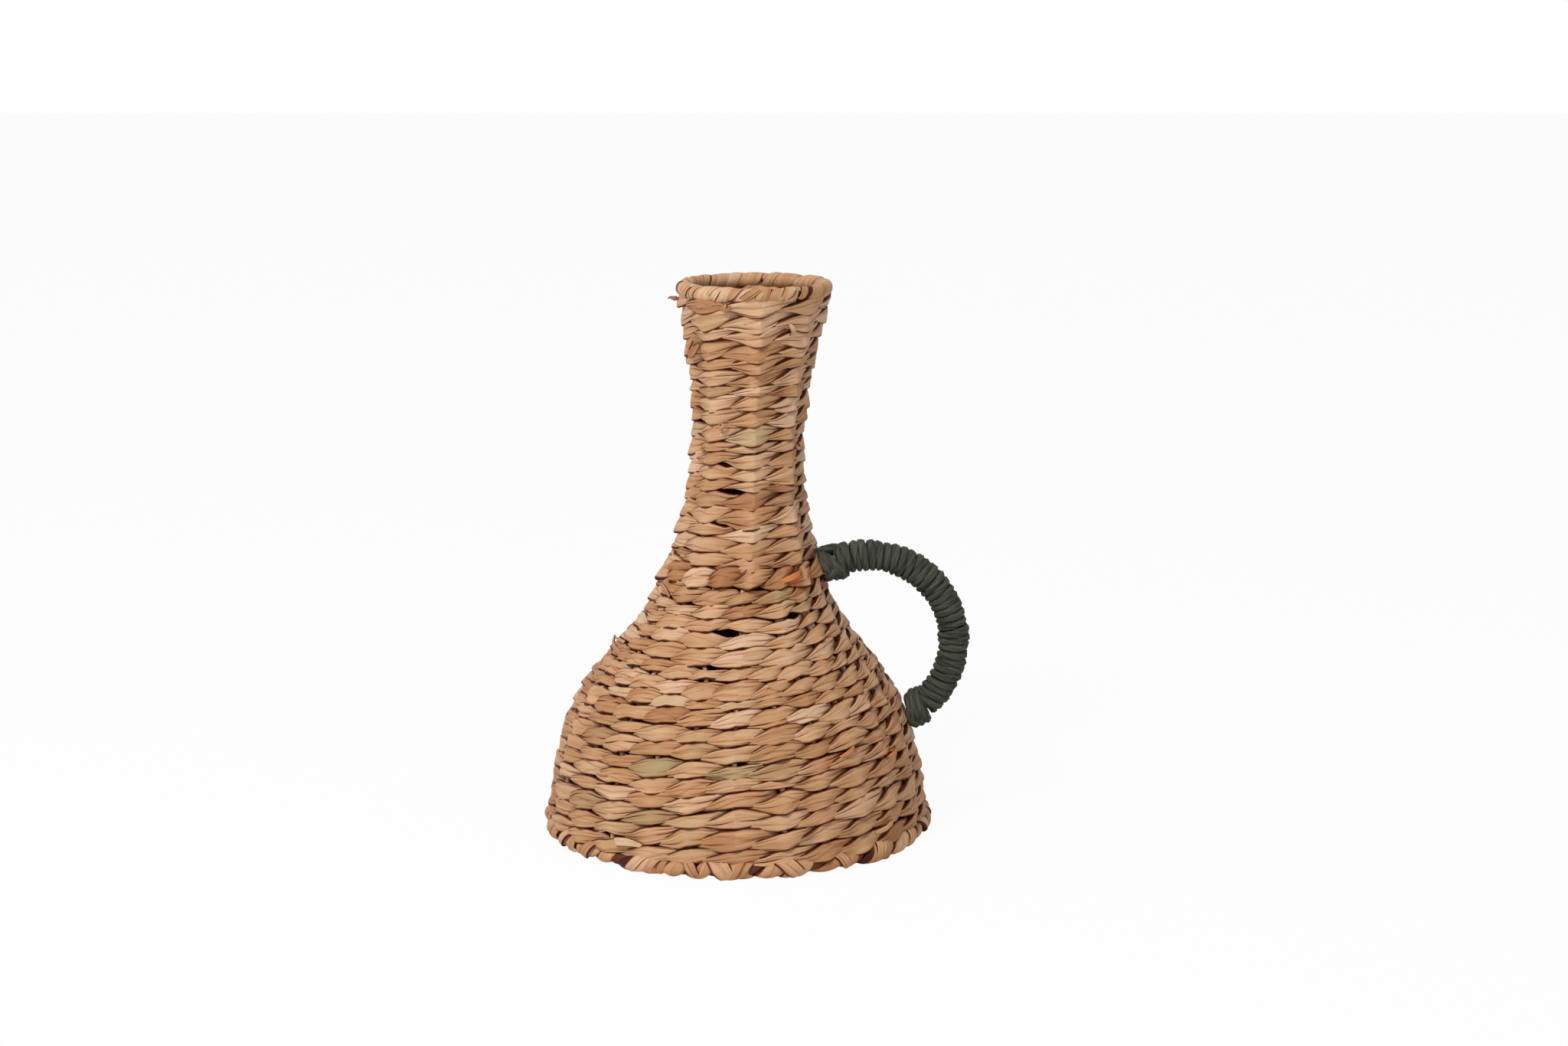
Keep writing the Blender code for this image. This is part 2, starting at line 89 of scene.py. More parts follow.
# Below the shoulder the body's ribs crowd, and the top courses take them in sixteen places
UPPER_RIBS = 16
UPPER_COURSES = 5
UPPER_RIB_ANGLE = math.radians(3.0)
UPPER_WIDER = 1.04
SHOULDER_RING_HEIGHT = 0.1215
SHOULDER_BAND_HEIGHT = 0.0085
SHOULDER_BAND_DROP = 0.0004
BAND_TWISTS = 16
BAND_FIRST_ANGLE = FULL_TURN / BAND_TWISTS * 0.35

RIM_RADIUS = 0.0316
RIM_TUBE = 0.0028
RIM_REACH = 0.0016
BASE_RADIUS = 0.0842
BASE_TUBE = 0.0034

HANDLE_SEATS = (0.0518, 0.1202)
HANDLE_SEAT_OUT = 0.0041
HANDLE_THICKNESS = 0.0142
WINDING_START = 0.0078


def srgb(hex_code):
    """Linear red, green, blue and alpha of an sRGB colour such as #c89f73.

    A channel up to 0.04045 is divided by 12.92. Above that it is the 2.4th power of the channel
    plus 0.055, over 1.055.
    """
    value = np.array([int(hex_code[i:i + 2], 16) for i in (1, 3, 5)]) / 255.0
    linear = np.where(value <= 0.04045, value / 12.92, ((value + 0.055) / 1.055) ** 2.4)
    return (*(float(v) for v in linear), 1.0)


def length(name, default, text):
    return bpy.props.FloatProperty(name=name, description=text, default=default, unit="LENGTH",
                                   precision=5)


def factor(name, default, text):
    return bpy.props.FloatProperty(name=name, description=text, default=default, min=0.0,
                                   soft_max=2.0, subtype="FACTOR")


def colour(name, hex_code, text):
    return bpy.props.FloatVectorProperty(name=name, description=text, subtype="COLOR", size=4,
                                         default=srgb(hex_code), min=0.0, max=1.0)


class BudVaseWeave(bpy.types.PropertyGroup):
    """Sizes of the twined leaf strands"""
    seed: bpy.props.IntProperty(name="Seed", description="Start of the random draws", default=7)
    thickness: length("Leaf thickness", 0.0014, "Thickness of a folded leaf over a rib")
    bunch: length("Bunch thickness", 0.0024, "Thickness of a leaf where it squeezes past another")
    cover: factor("Cover", 1.01, "Width of a leaf over a body rib, as a share of its course")
    neck_cover: factor("Neck cover", 1.26, "The same over a neck rib, where the rows overlap")
    pinch_out: factor("Pinch out", 0.14, "Width of a leaf where it comes out, as a share of its "
                      "course")
    pinch_in: factor("Pinch in", 0.36, "The same where it goes in")
    climb: factor("Climb", 0.40, "Rise of a strand from its rib to a tip, as a share of its course")
    tilt: factor("Tilt", 0.30, "Turn of a leaf's upper edge outwards at a crossing, in radians")
    shingle: factor("Shingle", 0.22, "Turn of a leaf's lower edge outwards, in radians")
    pleat_mid: length("Pleats over a rib", 0.00008, "Depth of the pleats where a leaf is flat")
    pleat_end: length("Pleats at a crossing", 0.00075, "Depth of the pleats where it is bunched")
    fold: length("Fold", 0.00030, "Step where a leaf is folded over itself")
    crown: length("Crown", 0.00030, "Swell of a leaf's middle over its edges")
    uneven: length("Uneven rows", 0.0009, "How far the line between two courses strays at a rib")
    wobble: length("Wobble", 0.0006, "How far the courses stray from level")
    dip: length("Dip", 0.0016, "How far the neck's courses hang down at a rib, under the rim")
    peek: length("Peek", 0.0007, "Largest gap between two courses, where a rib shows")


class BudVaseRings(bpy.types.PropertyGroup):
    """Sizes of the wound rim and base ring"""
    rim_turns: bpy.props.IntProperty(name="Rim turns", description="Turns of leaf on the rim",
                                     default=24)
    base_turns: bpy.props.IntProperty(name="Base turns", description="Turns of leaf on the foot",
                                      default=60)
    strip: length("Strip thickness", 0.00045, "Thickness of the wound leaf strip")
    rim_lap: length("Rim lap", 0.0006, "Height of a rim turn's edge where it lies on the next")
    base_lap: length("Base lap", 0.0009, "The same on the base ring")
    rim_bulge: length("Rim bulge", 0.0007, "Swell of a rim turn's middle over its edges")
    base_bulge: length("Base bulge", 0.0019, "The same on the base ring")
    base_lumps: length("Base lumps", 0.0020, "How far a turn of the base ring may stand out")
    cover: factor("Cover", 1.40, "Width of the strip, as a share of its pitch")


class BudVaseCord(bpy.types.PropertyGroup):
    """Sizes of the paper cord on the handle"""
    turns: bpy.props.IntProperty(name="Turns", description="Turns of cord between the lashings",
                                 default=31)
    depth: length("Cord depth", 0.0019, "Half thickness of the cord, away from the core")
    lay: length("Lay", 0.030, "Length in which the two plies go once round each other")
    press: factor("Press", 1.10, "Width of a turn, as a share of its pitch")
    lean: length("Lean", 0.0016, "How far a turn leans along the handle at its lower end")
    groove: length("Groove", 0.00022, "Depth of the groove between the plies")
    wrinkle: length("Wrinkle", 0.00010, "Depth of the wrinkles in the twisted paper")


class BudVaseColours(bpy.types.PropertyGroup):
    """Colours of the leaf, the cord and the stage"""
    pale: colour("Pale leaf", "#e0ba98", "Sun-bleached leaf")
    tan: colour("Tan leaf", "#cb9c71", "Most of the leaf")
    brown: colour("Brown leaf", "#a9744b", "Older leaf")
    red: colour("Red leaf", "#b67b55", "Leaf with a red cast")
    green: colour("Green leaf", "#a8986e", "Leaf that was cut green")
    orange: colour("Orange leaf", "#dc7f46", "Tip that dried orange")
    # The next two colours are painted shade, warm on the sides of pleats and gaps and dark at their
    # bottoms, in hollows and along the leaves' edges
    painted_warm_shade: colour("Painted warm shade", "#a0592f", "Side of a pleat, where the leaf's own light gathers")
    painted_shade: colour("Painted shade", "#3c1002", "Bottom of a pleat")
    # The cord's dark and light colours are laid by a tone that holds painted shade in its wrinkles
    # and groove and a painted highlight on its crests
    cord_dark: colour("Cord, dark", "#25261f", "Bottom of the cord's wrinkles")
    cord_mid: colour("Cord", "#42443a", "Twisted paper cord")
    cord_light: colour("Cord, light", "#5c5e53", "Rubbed crests of the cord")
    cane: colour("Cane", "#8a6a48", "Core of the handle")
    wire: colour("Wire", "#6b6257", "Bare rim wire")
    floor: colour("Floor", "#fafaf9", "Floor and backdrop")


# Surfaces

def round_steps(count):
    """Angles of a full turn in even steps, without its end."""
    return np.linspace(0.0, FULL_TURN, count, endpoint=False)


def smooth(low, high, value):
    """Smooth step: three times the square less twice the cube of the share between two values."""
    share = np.clip((value - low) / (high - low), 0.0, 1.0)
    return share * share * (3.0 - 2.0 * share)


class Wall:
    """The wall's middle surface, foot to mouth, by the length up the rib line.

    The radius is a natural cubic spline of the height through the rib line's places: its bend
    is nought at both ends and goes straight from each place to the next.
    """

    SAMPLES = 1600

    def __init__(self):
        knots, values = np.array(RIB_LINE).T * MM
        step = np.diff(knots)
        system, right = np.eye(len(knots)), np.zeros(len(knots))
        inner = np.arange(1, len(knots) - 1)
        system[inner, inner - 1] = step[:-1]
        system[inner, inner] = 2.0 * (step[:-1] + step[1:])
        system[inner, inner + 1] = step[1:]
        slopes = np.diff(values) / step
        right[inner] = 6.0 * np.diff(slopes)
        bend = np.linalg.solve(system, right)
        self.z = np.linspace(knots[0], knots[-1], self.SAMPLES)
        i = np.clip(np.searchsorted(knots, self.z) - 1, 0, len(knots) - 2)
        a = (knots[i + 1] - self.z) / step[i]
        b = 1.0 - a
        bent = (a ** 3 - a) * bend[i] + (b ** 3 - b) * bend[i + 1]
        self.r = a * values[i] + b * values[i + 1] + bent * step[i] ** 2 / 6.0
        self.s = np.concatenate(([0.0], np.cumsum(np.hypot(np.diff(self.z), np.diff(self.r)))))
        self.length = self.s[-1]
        slope = np.gradient(self.r, self.z)
        self.out_r, self.out_z = 1.0 / np.hypot(1.0, slope), -slope / np.hypot(1.0, slope)

    def at_height(self, z):
        return float(np.interp(z, self.z, self.s))

    def radius(self, s):
        return np.interp(s, self.s, self.r)

    def place(self, angle, s, out, chord=1.0):
        """Points at an angle, a length up the rib line and a distance outwards.

        Radius: rib line radius times the chord share, plus the outward distance times the
        normal's radial part. Height: rib line height plus the outward distance times the
        normal's upright part. Beyond its ends the rib line goes on straight.
        """
        inside = np.clip(s, 0.0, self.length)
        over = s - inside
        out_r, out_z = np.interp(inside, self.s, self.out_r), np.interp(inside, self.s, self.out_z)
        radius = np.interp(inside, self.s, self.r) * chord + out * out_r - over * out_z
        z = np.interp(inside, self.s, self.z) + out * out_z + over * out_r
        return self.turned(angle, radius, z)

    @staticmethod
    def turned(angle, radius, z):
        """Radius times sine and cosine of the angle about the leaning axis, and the height."""
        lean = LEAN_AT_RIM * np.clip((z - LEAN_START) / (HEIGHT - LEAN_START), 0.0, 1.0)
        x = radius * np.sin(angle) + lean
        return np.stack(np.broadcast_arrays(x, -radius * np.cos(angle), z), axis=-1)


WALL = Wall()
RING_S = WALL.at_height(SHOULDER_RING_HEIGHT)
BAND_LOW = RING_S - SHOULDER_BAND_HEIGHT / 2.0
BAND_HIGH = RING_S + SHOULDER_BAND_HEIGHT / 2.0


class Patch:
    """A tube as a grid of points, rows along it and columns round it, with its looks.

    The looks are tone, hue and painted shade, each of them one value or a grid that fits the
    points.
    uv holds the millimetres along and across the fibres.
    """

    def __init__(self, points, looks, along, across, closed):
        self.points, self.closed = points, closed
        rows, columns = points.shape[:2]
        self.tint = np.ones((rows, columns, 4))
        for channel, values in enumerate(looks):
            self.tint[..., channel] = values
        along = np.asarray(along, float)
        last = 2.0 * along[-1] - along[-2]
        along = np.append(along, last) if closed else along
        across = np.append(across, across[0])
        self.uv = np.stack(np.broadcast_arrays(along[:, None], across[None, :]), axis=-1)

    def faces(self):
        """Quads between neighbouring grid points, and a fan of triangles on each open end."""
        rows, columns = self.points.shape[:2]
        i = np.arange(rows if self.closed else rows - 1)[:, None]
        j = np.arange(columns)[None, :]
        i, j = np.broadcast_arrays(i, j)
        ii, jj = np.stack([i, i, i + 1, i + 1], -1), np.stack([j, j + 1, j + 1, j], -1)
        quads = (ii % rows) * columns + jj % columns
        quads, uv = quads.reshape(-1, 4), self.uv[ii, jj].reshape(-1, 4, 2)
        points = self.points.reshape(-1, 3)
        fans, fan_uv = np.zeros((0, 3), int), np.zeros((0, 3, 2))
        if not self.closed:
            k = np.arange(columns)
            first, last = rows * columns, rows * columns + 1
            lower = np.stack([(k + 1) % columns, k, np.full(columns, first)], -1)
            base = (rows - 1) * columns
            upper = np.stack([base + k, base + (k + 1) % columns, np.full(columns, last)], -1)
            fans = np.concatenate([lower, upper])
            points = np.concatenate([points, self.points[:1].mean(1), self.points[-1:].mean(1)])
            ends = np.stack([self.uv[0, k], self.uv[0, k + 1], self.uv[0, k]], 1)
            fan_uv = np.concatenate([ends, ends])
        a, b, c, d = (points[quads[:, n]] for n in range(4))
        volume = (np.cross(a, b) * c).sum() + (np.cross(a, c) * d).sum()
        a, b, c = (points[fans[:, n]] for n in range(3))
        volume += (np.cross(a, b) * c).sum()
        if volume < 0.0:
            quads, uv, fans, fan_uv = quads[:, ::-1], uv[:, ::-1], fans[:, ::-1], fan_uv[:, ::-1]
        tint = self.tint.reshape(-1, 4)
        if not self.closed:
            tint = np.concatenate([tint, tint[:1], tint[-1:]])
        return points, tint, quads, uv, fans, fan_uv


def linked(name, data):
    """New object in the scene."""
    item = bpy.data.objects.new(name, data)
    bpy.context.scene.collection.objects.link(item)
    return item


def add_piece(name, patches, material, replaces=()):
    """One mesh object from patches, riding on the vase's only body."""
    made = [patch.faces() for patch in patches]
    starts = np.cumsum([0] + [len(part[0]) for part in made])
    points = np.concatenate([part[0] for part in made])
    tint = np.concatenate([part[1] for part in made])
    quads = np.concatenate([part[2] + start for part, start in zip(made, starts)])
    fans = np.concatenate([part[4] + start for part, start in zip(made, starts)])
    uv = np.concatenate([part[3].reshape(-1, 2) for part in made]
                        + [part[5].reshape(-1, 2) for part in made])
    corners = np.concatenate([quads.ravel(), fans.ravel()])
    first = np.concatenate([np.arange(len(quads)) * 4, len(quads) * 4 + np.arange(len(fans)) * 3])

    mesh = bpy.data.meshes.new(name)
    mesh.vertices.add(len(points))
    mesh.vertices.foreach_set("co", points.astype(np.float32).ravel())
    mesh.loops.add(len(corners))
    mesh.loops.foreach_set("vertex_index", corners.astype(np.int32))
    mesh.polygons.add(len(first))
    mesh.polygons.foreach_set("loop_start", first.astype(np.int32))
    mesh.uv_layers.new(name="fibre").uv.foreach_set("vector", uv.astype(np.float32).ravel())
    look = mesh.color_attributes.new("leaf", "FLOAT_COLOR", "POINT")
    look.data.foreach_set("color", tint.astype(np.float32).ravel())
    mesh.update(calc_edges=True)
    mesh.validate()
    mesh.shade_smooth()
    mesh.materials.append(material)
    item = linked(name, mesh)
    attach(item, "root")
    if replaces:
        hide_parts(*replaces)


# Columns round a leaf's section, on its outer and its inner face
TWINED_COLUMNS = (22, 9)
WOUND_COLUMNS = (16, 7)
STRIP_COLUMNS = (14, 6)
FLOOR_COLUMNS = (10, 5)

# Fibre pattern in millimetres: half the width that a leaf takes up of it, the length that a short
# strip takes up, and the greatest random shift along it
TWINED_HALF = 3.3
WOUND_HALF = 4.0
STRIP_HALF = 3.0
STRIP_RUN = 40.0
FIBRE_SHIFT = 900.0


def leaf_profile(outer, inner):
    """Section of a flat leaf: place across from 1 to -1 and back, and height of its two faces.

    Places: 0.45 of an even spread and 0.55 of its sine, which crowds them at the edges. Height:
    the fourth root of one less the fourth power of the place across.
    """
    top = np.linspace(1.0, -1.0, outer + 1)
    back = np.linspace(-1.0, 1.0, inner + 1)[1:-1]
    across = np.concatenate([top, back])
    across = 0.45 * across + 0.55 * np.sin(math.pi / 2.0 * across)
    height = (1.0 - across ** 4) ** 0.25
    height[outer + 1:] *= -1.0
    return across, height


# Shares of the way from one leaf to the next between which a strand's features change
HAND_OVER = (0.38, 0.62)
# The same from one turn of a wound strip to the next
TURN_OVER = (0.25, 0.75)


class Leaves:
    """Random features of the leaves of one strand, one set for each rib that it passes over.

    The strand is spliced from long leaves, and tone and hue change most from leaf to leaf.
    """

    def __init__(self, draw, count, tone=0.52, hue=0.48, narrow=0.86, wide=1.20):
        ends = np.cumsum(draw.integers(3, 8, count))
        spliced = np.searchsorted(ends, np.arange(count), side="right")
        tones = tone + 0.16 * draw.standard_normal(count)
        hues = hue + 0.12 * draw.standard_normal(count)
        self.tone = (tones[spliced] + 0.07 * draw.standard_normal(count)).clip(0.0, 1.0)
        self.hue = (hues[spliced] + 0.04 * draw.standard_normal(count)).clip(0.0, 1.0)
        self.width = draw.uniform(narrow, wide, count)
        self.proud = 0.0022 * np.clip(self.width - 1.0, 0.0, 1.0) + draw.uniform(0.0, 0.0006, count)
        self.shift = 0.00035 * draw.standard_normal(count).clip(-2.0, 2.0)
        self.pleats = draw.uniform((1.6, 4.0, 7.0), (3.4, 7.0, 10.5), (count, 3))
        self.phase = draw.uniform(0.0, 1.0, (count, 3))
        self.depth = draw.uniform(0.35, 1.6, count)
        self.fold = draw.uniform(-0.7, 0.7, (count, 2))
        self.drift = draw.uniform(-0.6, 0.6, (count, 2))
        self.step = draw.choice((-1.0, 0.0, 1.0), (count, 2)) * draw.uniform(0.5, 1.2, (count, 2))
        self.swell = draw.uniform(0.3, 1.5, count)
        self.skew = draw.uniform(-0.10, 0.10, count)
        self.flat = draw.uniform(0.0, 0.26, count)
        self.lag = draw.uniform(0.15, 0.38, count)
        self.bend = draw.uniform(0.15, 0.80, count)
        self.roll = 0.09 * draw.standard_normal(count).clip(-2.0, 2.0)

    def at(self, name, place):
        """A feature at places along the strand: each leaf's own where it is in front, with a
        smooth change where it is behind a rib."""
        return round_ring(getattr(self, name), place, *HAND_OVER)


def round_ring(values, x, start=0.0, end=1.0):
    """Values at whole places round a ring, joined by smooth steps.

    Start and end are the shares of the way to the next place between which a step goes.
    """
    low = np.floor(x).astype(int)
    share = smooth(start, end, x - low)
    share = share.reshape(share.shape + (1,) * (values.ndim - 1))
    return values[low % len(values)] * (1.0 - share) + values[(low + 1) % len(values)] * share


def pleated(across, pleats, phase):
    """Pleats across a leaf, about -1 at a pleat's bottom and up to 0.4 on a fold.

    Sum of three weights times the 0.7th power of the sine's size, for three pleat counts.
    """
    turn = pleats[:, None, :] * across[None, :, None] / 2.0 + phase[:, None, :]
    wave = np.abs(np.sin(math.pi * turn)) ** 0.7
    return (wave * (0.7, 0.5, 0.25)).sum(-1) - 1.0


def unit(vectors):
    return vectors / np.linalg.norm(vectors, axis=-1, keepdims=True)


def through(knots, steps):
    """Smooth curve through given places.

    Each stretch is a cubic, whose slope at a place is half the way from the place before it to
    the place after it.
    """
    knots = np.asarray(knots, float)
    padded = np.concatenate([2.0 * knots[:1] - knots[1:2], knots, 2.0 * knots[-1:] - knots[-2:-1]])
    t = np.linspace(0.0, len(knots) - 1.0, (len(knots) - 1) * steps + 1)
    i = np.minimum(t.astype(int), len(knots) - 2)
    share = (t - i)[:, None]
    before, start, end, after = (padded[i + n] for n in range(4))
    square = 2.0 * before - 5.0 * start + 4.0 * end - after
    cube = 3.0 * start - before - 3.0 * end + after
    return start + 0.5 * ((end - before) * share + square * share ** 2 + cube * share ** 3)


# Small step that finds the direction off a bed
NUDGE = 0.0001


def carried(place, path, across, away):
    """Section carried along a path over a curved bed.

    place() takes the path's three columns, of which the third is the distance off the bed. The
    section's away side faces off the bed, and its other side is square to that and to the path.
    """
    centre = place(*path.T)
    off = place(path[:, 0], path[:, 1], path[:, 2] + NUDGE) - centre
    tangent = unit(np.gradient(centre, axis=0))
    side = unit(np.cross(off, tangent))
    off = np.cross(tangent, side)
    return centre[:, None] + side[:, None] * across[..., None] + off[:, None] * away[..., None]


STRIP_STEPS = 8
# Painted shade along the edges of a short strip
STRIP_EDGE_SHADE = 0.8


def leaf_strip(place, knots, widths, draw, tone, hue, thickness=0.0008, pleat=0.0002):
    """Short strip of leaf over a bed: a leaf's section with its pleats, carried along a path."""
    path = through(knots, STRIP_STEPS)
    across, height = leaf_profile(*STRIP_COLUMNS)
    share = np.linspace(0.0, 1.0, len(path))
    half = 0.5 * np.interp(share, np.linspace(0.0, 1.0, len(widths)), widths)
    pleats, phase = draw.uniform((1.5, 3.0, 5.0), (3.0, 5.0, 8.0)), draw.uniform(0.0, 1.0, 3)
    relief = pleated(across, pleats[None], phase[None])[0]
    away = 0.5 * thickness * height + pleat * relief * (height > 0.0) * (1.0 - across ** 6)
    points = carried(place, path, half[:, None] * across,
                     np.broadcast_to(away, (len(path), len(away))))
    # Painted shade in the pleats' bottoms and along the edges
    edge = STRIP_EDGE_SHADE * (np.abs(across) > 0.85)
    painted_shade = np.maximum(np.clip(-relief - 0.1, 0.0, 1.0), edge)
    run = share * STRIP_RUN + draw.uniform(0.0, FIBRE_SHIFT)
    return Patch(points, (tone, hue, painted_shade), run, across * STRIP_HALF, False)


def rib_angles(first, ribs, seed, size):
    """Function for the angle of rib x at a length up the wall.

    The ribs are spread evenly from the first angle, and each wanders by a sine up the wall, by
    up to the size in rib spacings. Between two ribs the wander goes straight from one's to the
    other's.
    """
    draw = np.random.default_rng(seed)
    reach = size * draw.uniform(0.3, 1.0, ribs)
    turn, wave = draw.uniform(0.0, FULL_TURN, ribs), draw.uniform(0.035, 0.07, ribs)

    def wander(k, s):
        return reach[k % ribs] * np.sin(s / wave[k % ribs] + turn[k % ribs])

    def angle(x, s):
        low = np.floor(x).astype(int)
        share = x - low
        drift = wander(low, s) * (1.0 - share) + wander(low + 1, s) * share
        return first + FULL_TURN / ribs * (x + drift)

    return angle


body_angle = rib_angles(BODY_RIB_ANGLE, BODY_RIBS, 31, 0.085)
upper_angle = rib_angles(UPPER_RIB_ANGLE, UPPER_RIBS, 37, 0.085)
neck_angle = rib_angles(NECK_RIB_ANGLE, NECK_RIBS, 17, 0.045)
band_angle = rib_angles(BAND_FIRST_ANGLE, BAND_TWISTS, 0, 0.0)


class Stretch(NamedTuple):
    """A stretch of weave whose courses cross the same ribs.

    It has the first word of its pieces' names, the lengths up the wall between which it lies,
    the count of ribs, the first rib's angle and the function for all of them. The tips say where
    a strand comes out and where it goes in, in ribs from the rib that it passes in front of. The
    widths are a leaf's least and greatest share of its full width. Last come the seed of the
    draws, the steps from one rib to the next, the first course's number and the courses' count.
    """
    piece: str
    low: float
    high: float
    ribs: int
    first_angle: float
    angle_at: object
    tips: tuple
    widths: tuple
    seed: int
    steps: int
    first: int = 1
    count: int = 1


UPPER_S = BAND_LOW * (1.0 - UPPER_COURSES / BODY_COURSES)
LOWER_COURSES = BODY_COURSES - UPPER_COURSES

LOWER_BODY = Stretch(
    piece="body", count=LOWER_COURSES, low=0.0, high=UPPER_S,
    ribs=BODY_RIBS, first_angle=BODY_RIB_ANGLE, angle_at=body_angle,
    tips=(0.84, 0.86), widths=(0.92, 1.18), seed=11, steps=18)
UPPER_BODY = Stretch(
    piece="body", first=LOWER_COURSES + 1, count=UPPER_COURSES, low=UPPER_S, high=BAND_LOW,
    ribs=UPPER_RIBS, first_angle=UPPER_RIB_ANGLE, angle_at=upper_angle,
    tips=(0.66, 0.80), widths=(0.88, 1.25), seed=14, steps=20)
NECK = Stretch(
    piece="neck", count=NECK_COURSES, low=BAND_HIGH, high=WALL.length + RIM_REACH,
    ribs=NECK_RIBS, first_angle=NECK_RIB_ANGLE, angle_at=neck_angle,
    tips=(0.72, 0.74), widths=(0.72, 1.22), seed=12, steps=28)
BAND = Stretch(
    piece="shoulder", low=BAND_LOW - SHOULDER_BAND_DROP, high=BAND_HIGH,
    ribs=BAND_TWISTS, first_angle=BAND_FIRST_ANGLE, angle_at=band_angle,
    tips=(0.72, 0.85), widths=(0.86, 1.20), seed=13, steps=24)


def stray(angle, s, size):
    """How far a course strays from level: two sines round the vase that turn with height."""
    first = 0.6 * np.sin(angle + s / 0.030)
    return size * (first + 0.4 * np.sin(2.0 * angle - s / 0.045 + 1.0))


# Holes in the weave: angle from the front, height, half length and half height in millimetres
HOLES = (
    (-23.2, 172.8, 4.6, 1.4), (-13.2, 158.0, 8.0, 1.7), (-19.2, 143.8, 7.0, 1.7),
    (-6.2, 96.8, 8.0, 2.3), (-9.8, 83.5, 12.0, 2.5), (35.2, 103.8, 4.0, 1.6),
    (-51.0, 173.5, 1.6, 0.7), (-41.8, 117.8, 3.6, 0.9), (26.0, 84.0, 4.0, 0.7),
    (-40.2, 52.0, 4.5, 0.6), (-42.0, 13.0, 4.0, 0.9), (2.0, 49.2, 4.0, 0.6),
    (-24.0, 243.4, 3.0, 0.8),
)

# Casts of colour over a region: angle, height, spread in degrees and millimetres, tone, hue, and
# which strand takes them (0 or 1, or 2 for both)
CASTS = (
    (-44.0, 55.0, 12.0, 4.5, 0.06, 0.55, 0),
    (-10.0, 47.0, 24.0, 4.5, 0.02, 0.60, 0),
    (-6.0, 54.0, 10.0, 4.0, 0.00, 0.45, 1),
    (41.0, 120.8, 6.0, 3.6, 0.10, -1.3, 2),
    (39.0, 49.5, 4.5, 3.0, 0.10, -0.9, 1),
    (32.0, 46.0, 8.0, 3.0, 0.12, -0.55, 2),
    (59.5, 43.8, 3.0, 3.0, 0.10, -1.0, 2),
    (29.0, 113.0, 6.0, 3.0, 0.16, 0.50, 1),
    (-14.0, 115.5, 26.0, 3.0, 0.22, 0.04, 2),
    (5.0, 212.0, 40.0, 5.0, 0.00, 0.30, 1),
    (10.0, 131.0, 60.0, 7.0, -0.14, -0.22, 2),
    (0.0, 236.0, 90.0, 8.0, 0.02, -0.05, 2),
    (5.0, 190.0, 60.0, 22.0, 0.10, 0.07, 2),
    (62.0, 40.0, 25.0, 30.0, -0.08, -0.10, 2),
    (-20.0, 104.0, 60.0, 12.0, -0.08, -0.04, 2),
    (-50.0, 45.0, 30.0, 34.0, -0.06, 0.02, 2),
)


def cast_at(angle, height, which):
    """Sum of the colour casts at a place: each falls off as a Gaussian round its middle."""
    tone, hue = np.zeros_like(angle), np.zeros_like(angle)
    for middle, level, wide, tall, lighter, greener, strand in CASTS:
        if strand in (which % 2, 2):
            away = (np.degrees(angle) - middle + 180.0) % 360.0 - 180.0
            weight = np.exp(-(away / wide) ** 2 - ((height / MM - level) / tall) ** 2)
            tone, hue = tone + lighter * weight, hue + greener * weight
    return tone, hue


class Line:
    """Line between two courses: its level at each rib, its dip there and the gaps it opens."""

    def __init__(self, levels, dip=0.0, peeks=None):
        self.levels, self.dip, self.holes = levels, dip, []
        self.peeks = np.zeros(len(levels)) if peeks is None else peeks

    def at(self, x):
        """Level: the ribs' own levels joined by smooth steps, less the dip times the square of
        the cosine, which is deepest at the ribs."""
        return round_ring(self.levels, x) + self.dip * (0.5 - np.cos(math.pi * x) ** 2)

    def gap(self, x):
        """Half the gap between the two courses: a Gaussian round each rib that shows, and for a
        hole a wedge that narrows both ways from its middle."""
        near, count = np.rint(x).astype(int), len(self.levels)
        gap = self.peeks[near % count] * np.exp(-((x - near) / 0.22) ** 2)
        for middle, long, open_by in self.holes:
            away = (x - middle + count / 2.0) % count - count / 2.0
            gap = gap + open_by * np.clip(1.0 - np.abs(away) / long, 0.0, 1.0) ** 0.8
        return gap


# Spread of the courses' heights about their mean, and the share of ribs that show between courses
PITCH_SPREAD = 0.08
PEEKING = 0.10


def course_lines(weave, stretch, dip):
    """Lines between courses: heights drawn about an even pitch, strayed at every rib, with each
    hole of the list put on the line nearest to it.

    The dip reaches its full size over the last rows and fades out at the last line of all.
    """
    count, ribs = stretch.count, stretch.ribs
    draw = np.random.default_rng(stretch.seed)
    heights = 1.0 + PITCH_SPREAD * draw.standard_normal(count).clip(-1.5, 1.5)
    levels = np.concatenate(([0.0], np.cumsum(heights)))
    levels = stretch.low + (stretch.high - stretch.low) * levels / levels[-1]
    strays = weave.uneven * draw.standard_normal((count + 1, ribs)).clip(-1.7, 1.7)
    peeks = weave.peek * draw.uniform(0.4, 1.0, (count + 1, ribs))
    peeks *= draw.uniform(0.0, 1.0, (count + 1, ribs)) < PEEKING
    strays[0] = strays[-1] = peeks[0] = peeks[-1] = 0.0
    row = np.arange(count + 1)
    dips = dip * (0.12 + 0.88 * smooth(count - 6, count - 2, row)) * smooth(count, count - 1.5, row)
    lines = [Line(*each) for each in zip(levels[:, None] + strays, dips, peeks)]
    step = FULL_TURN / ribs
    for at, height, long, open_by in HOLES:
        s = WALL.at_height(height * MM)
        if stretch.low < s < stretch.high:
            lines[int(np.abs(levels - s).argmin())].holes.append(
                ((math.radians(at) - stretch.first_angle) / step,
                 long * MM / (WALL.radius(s) * step), open_by * MM))
    return lines


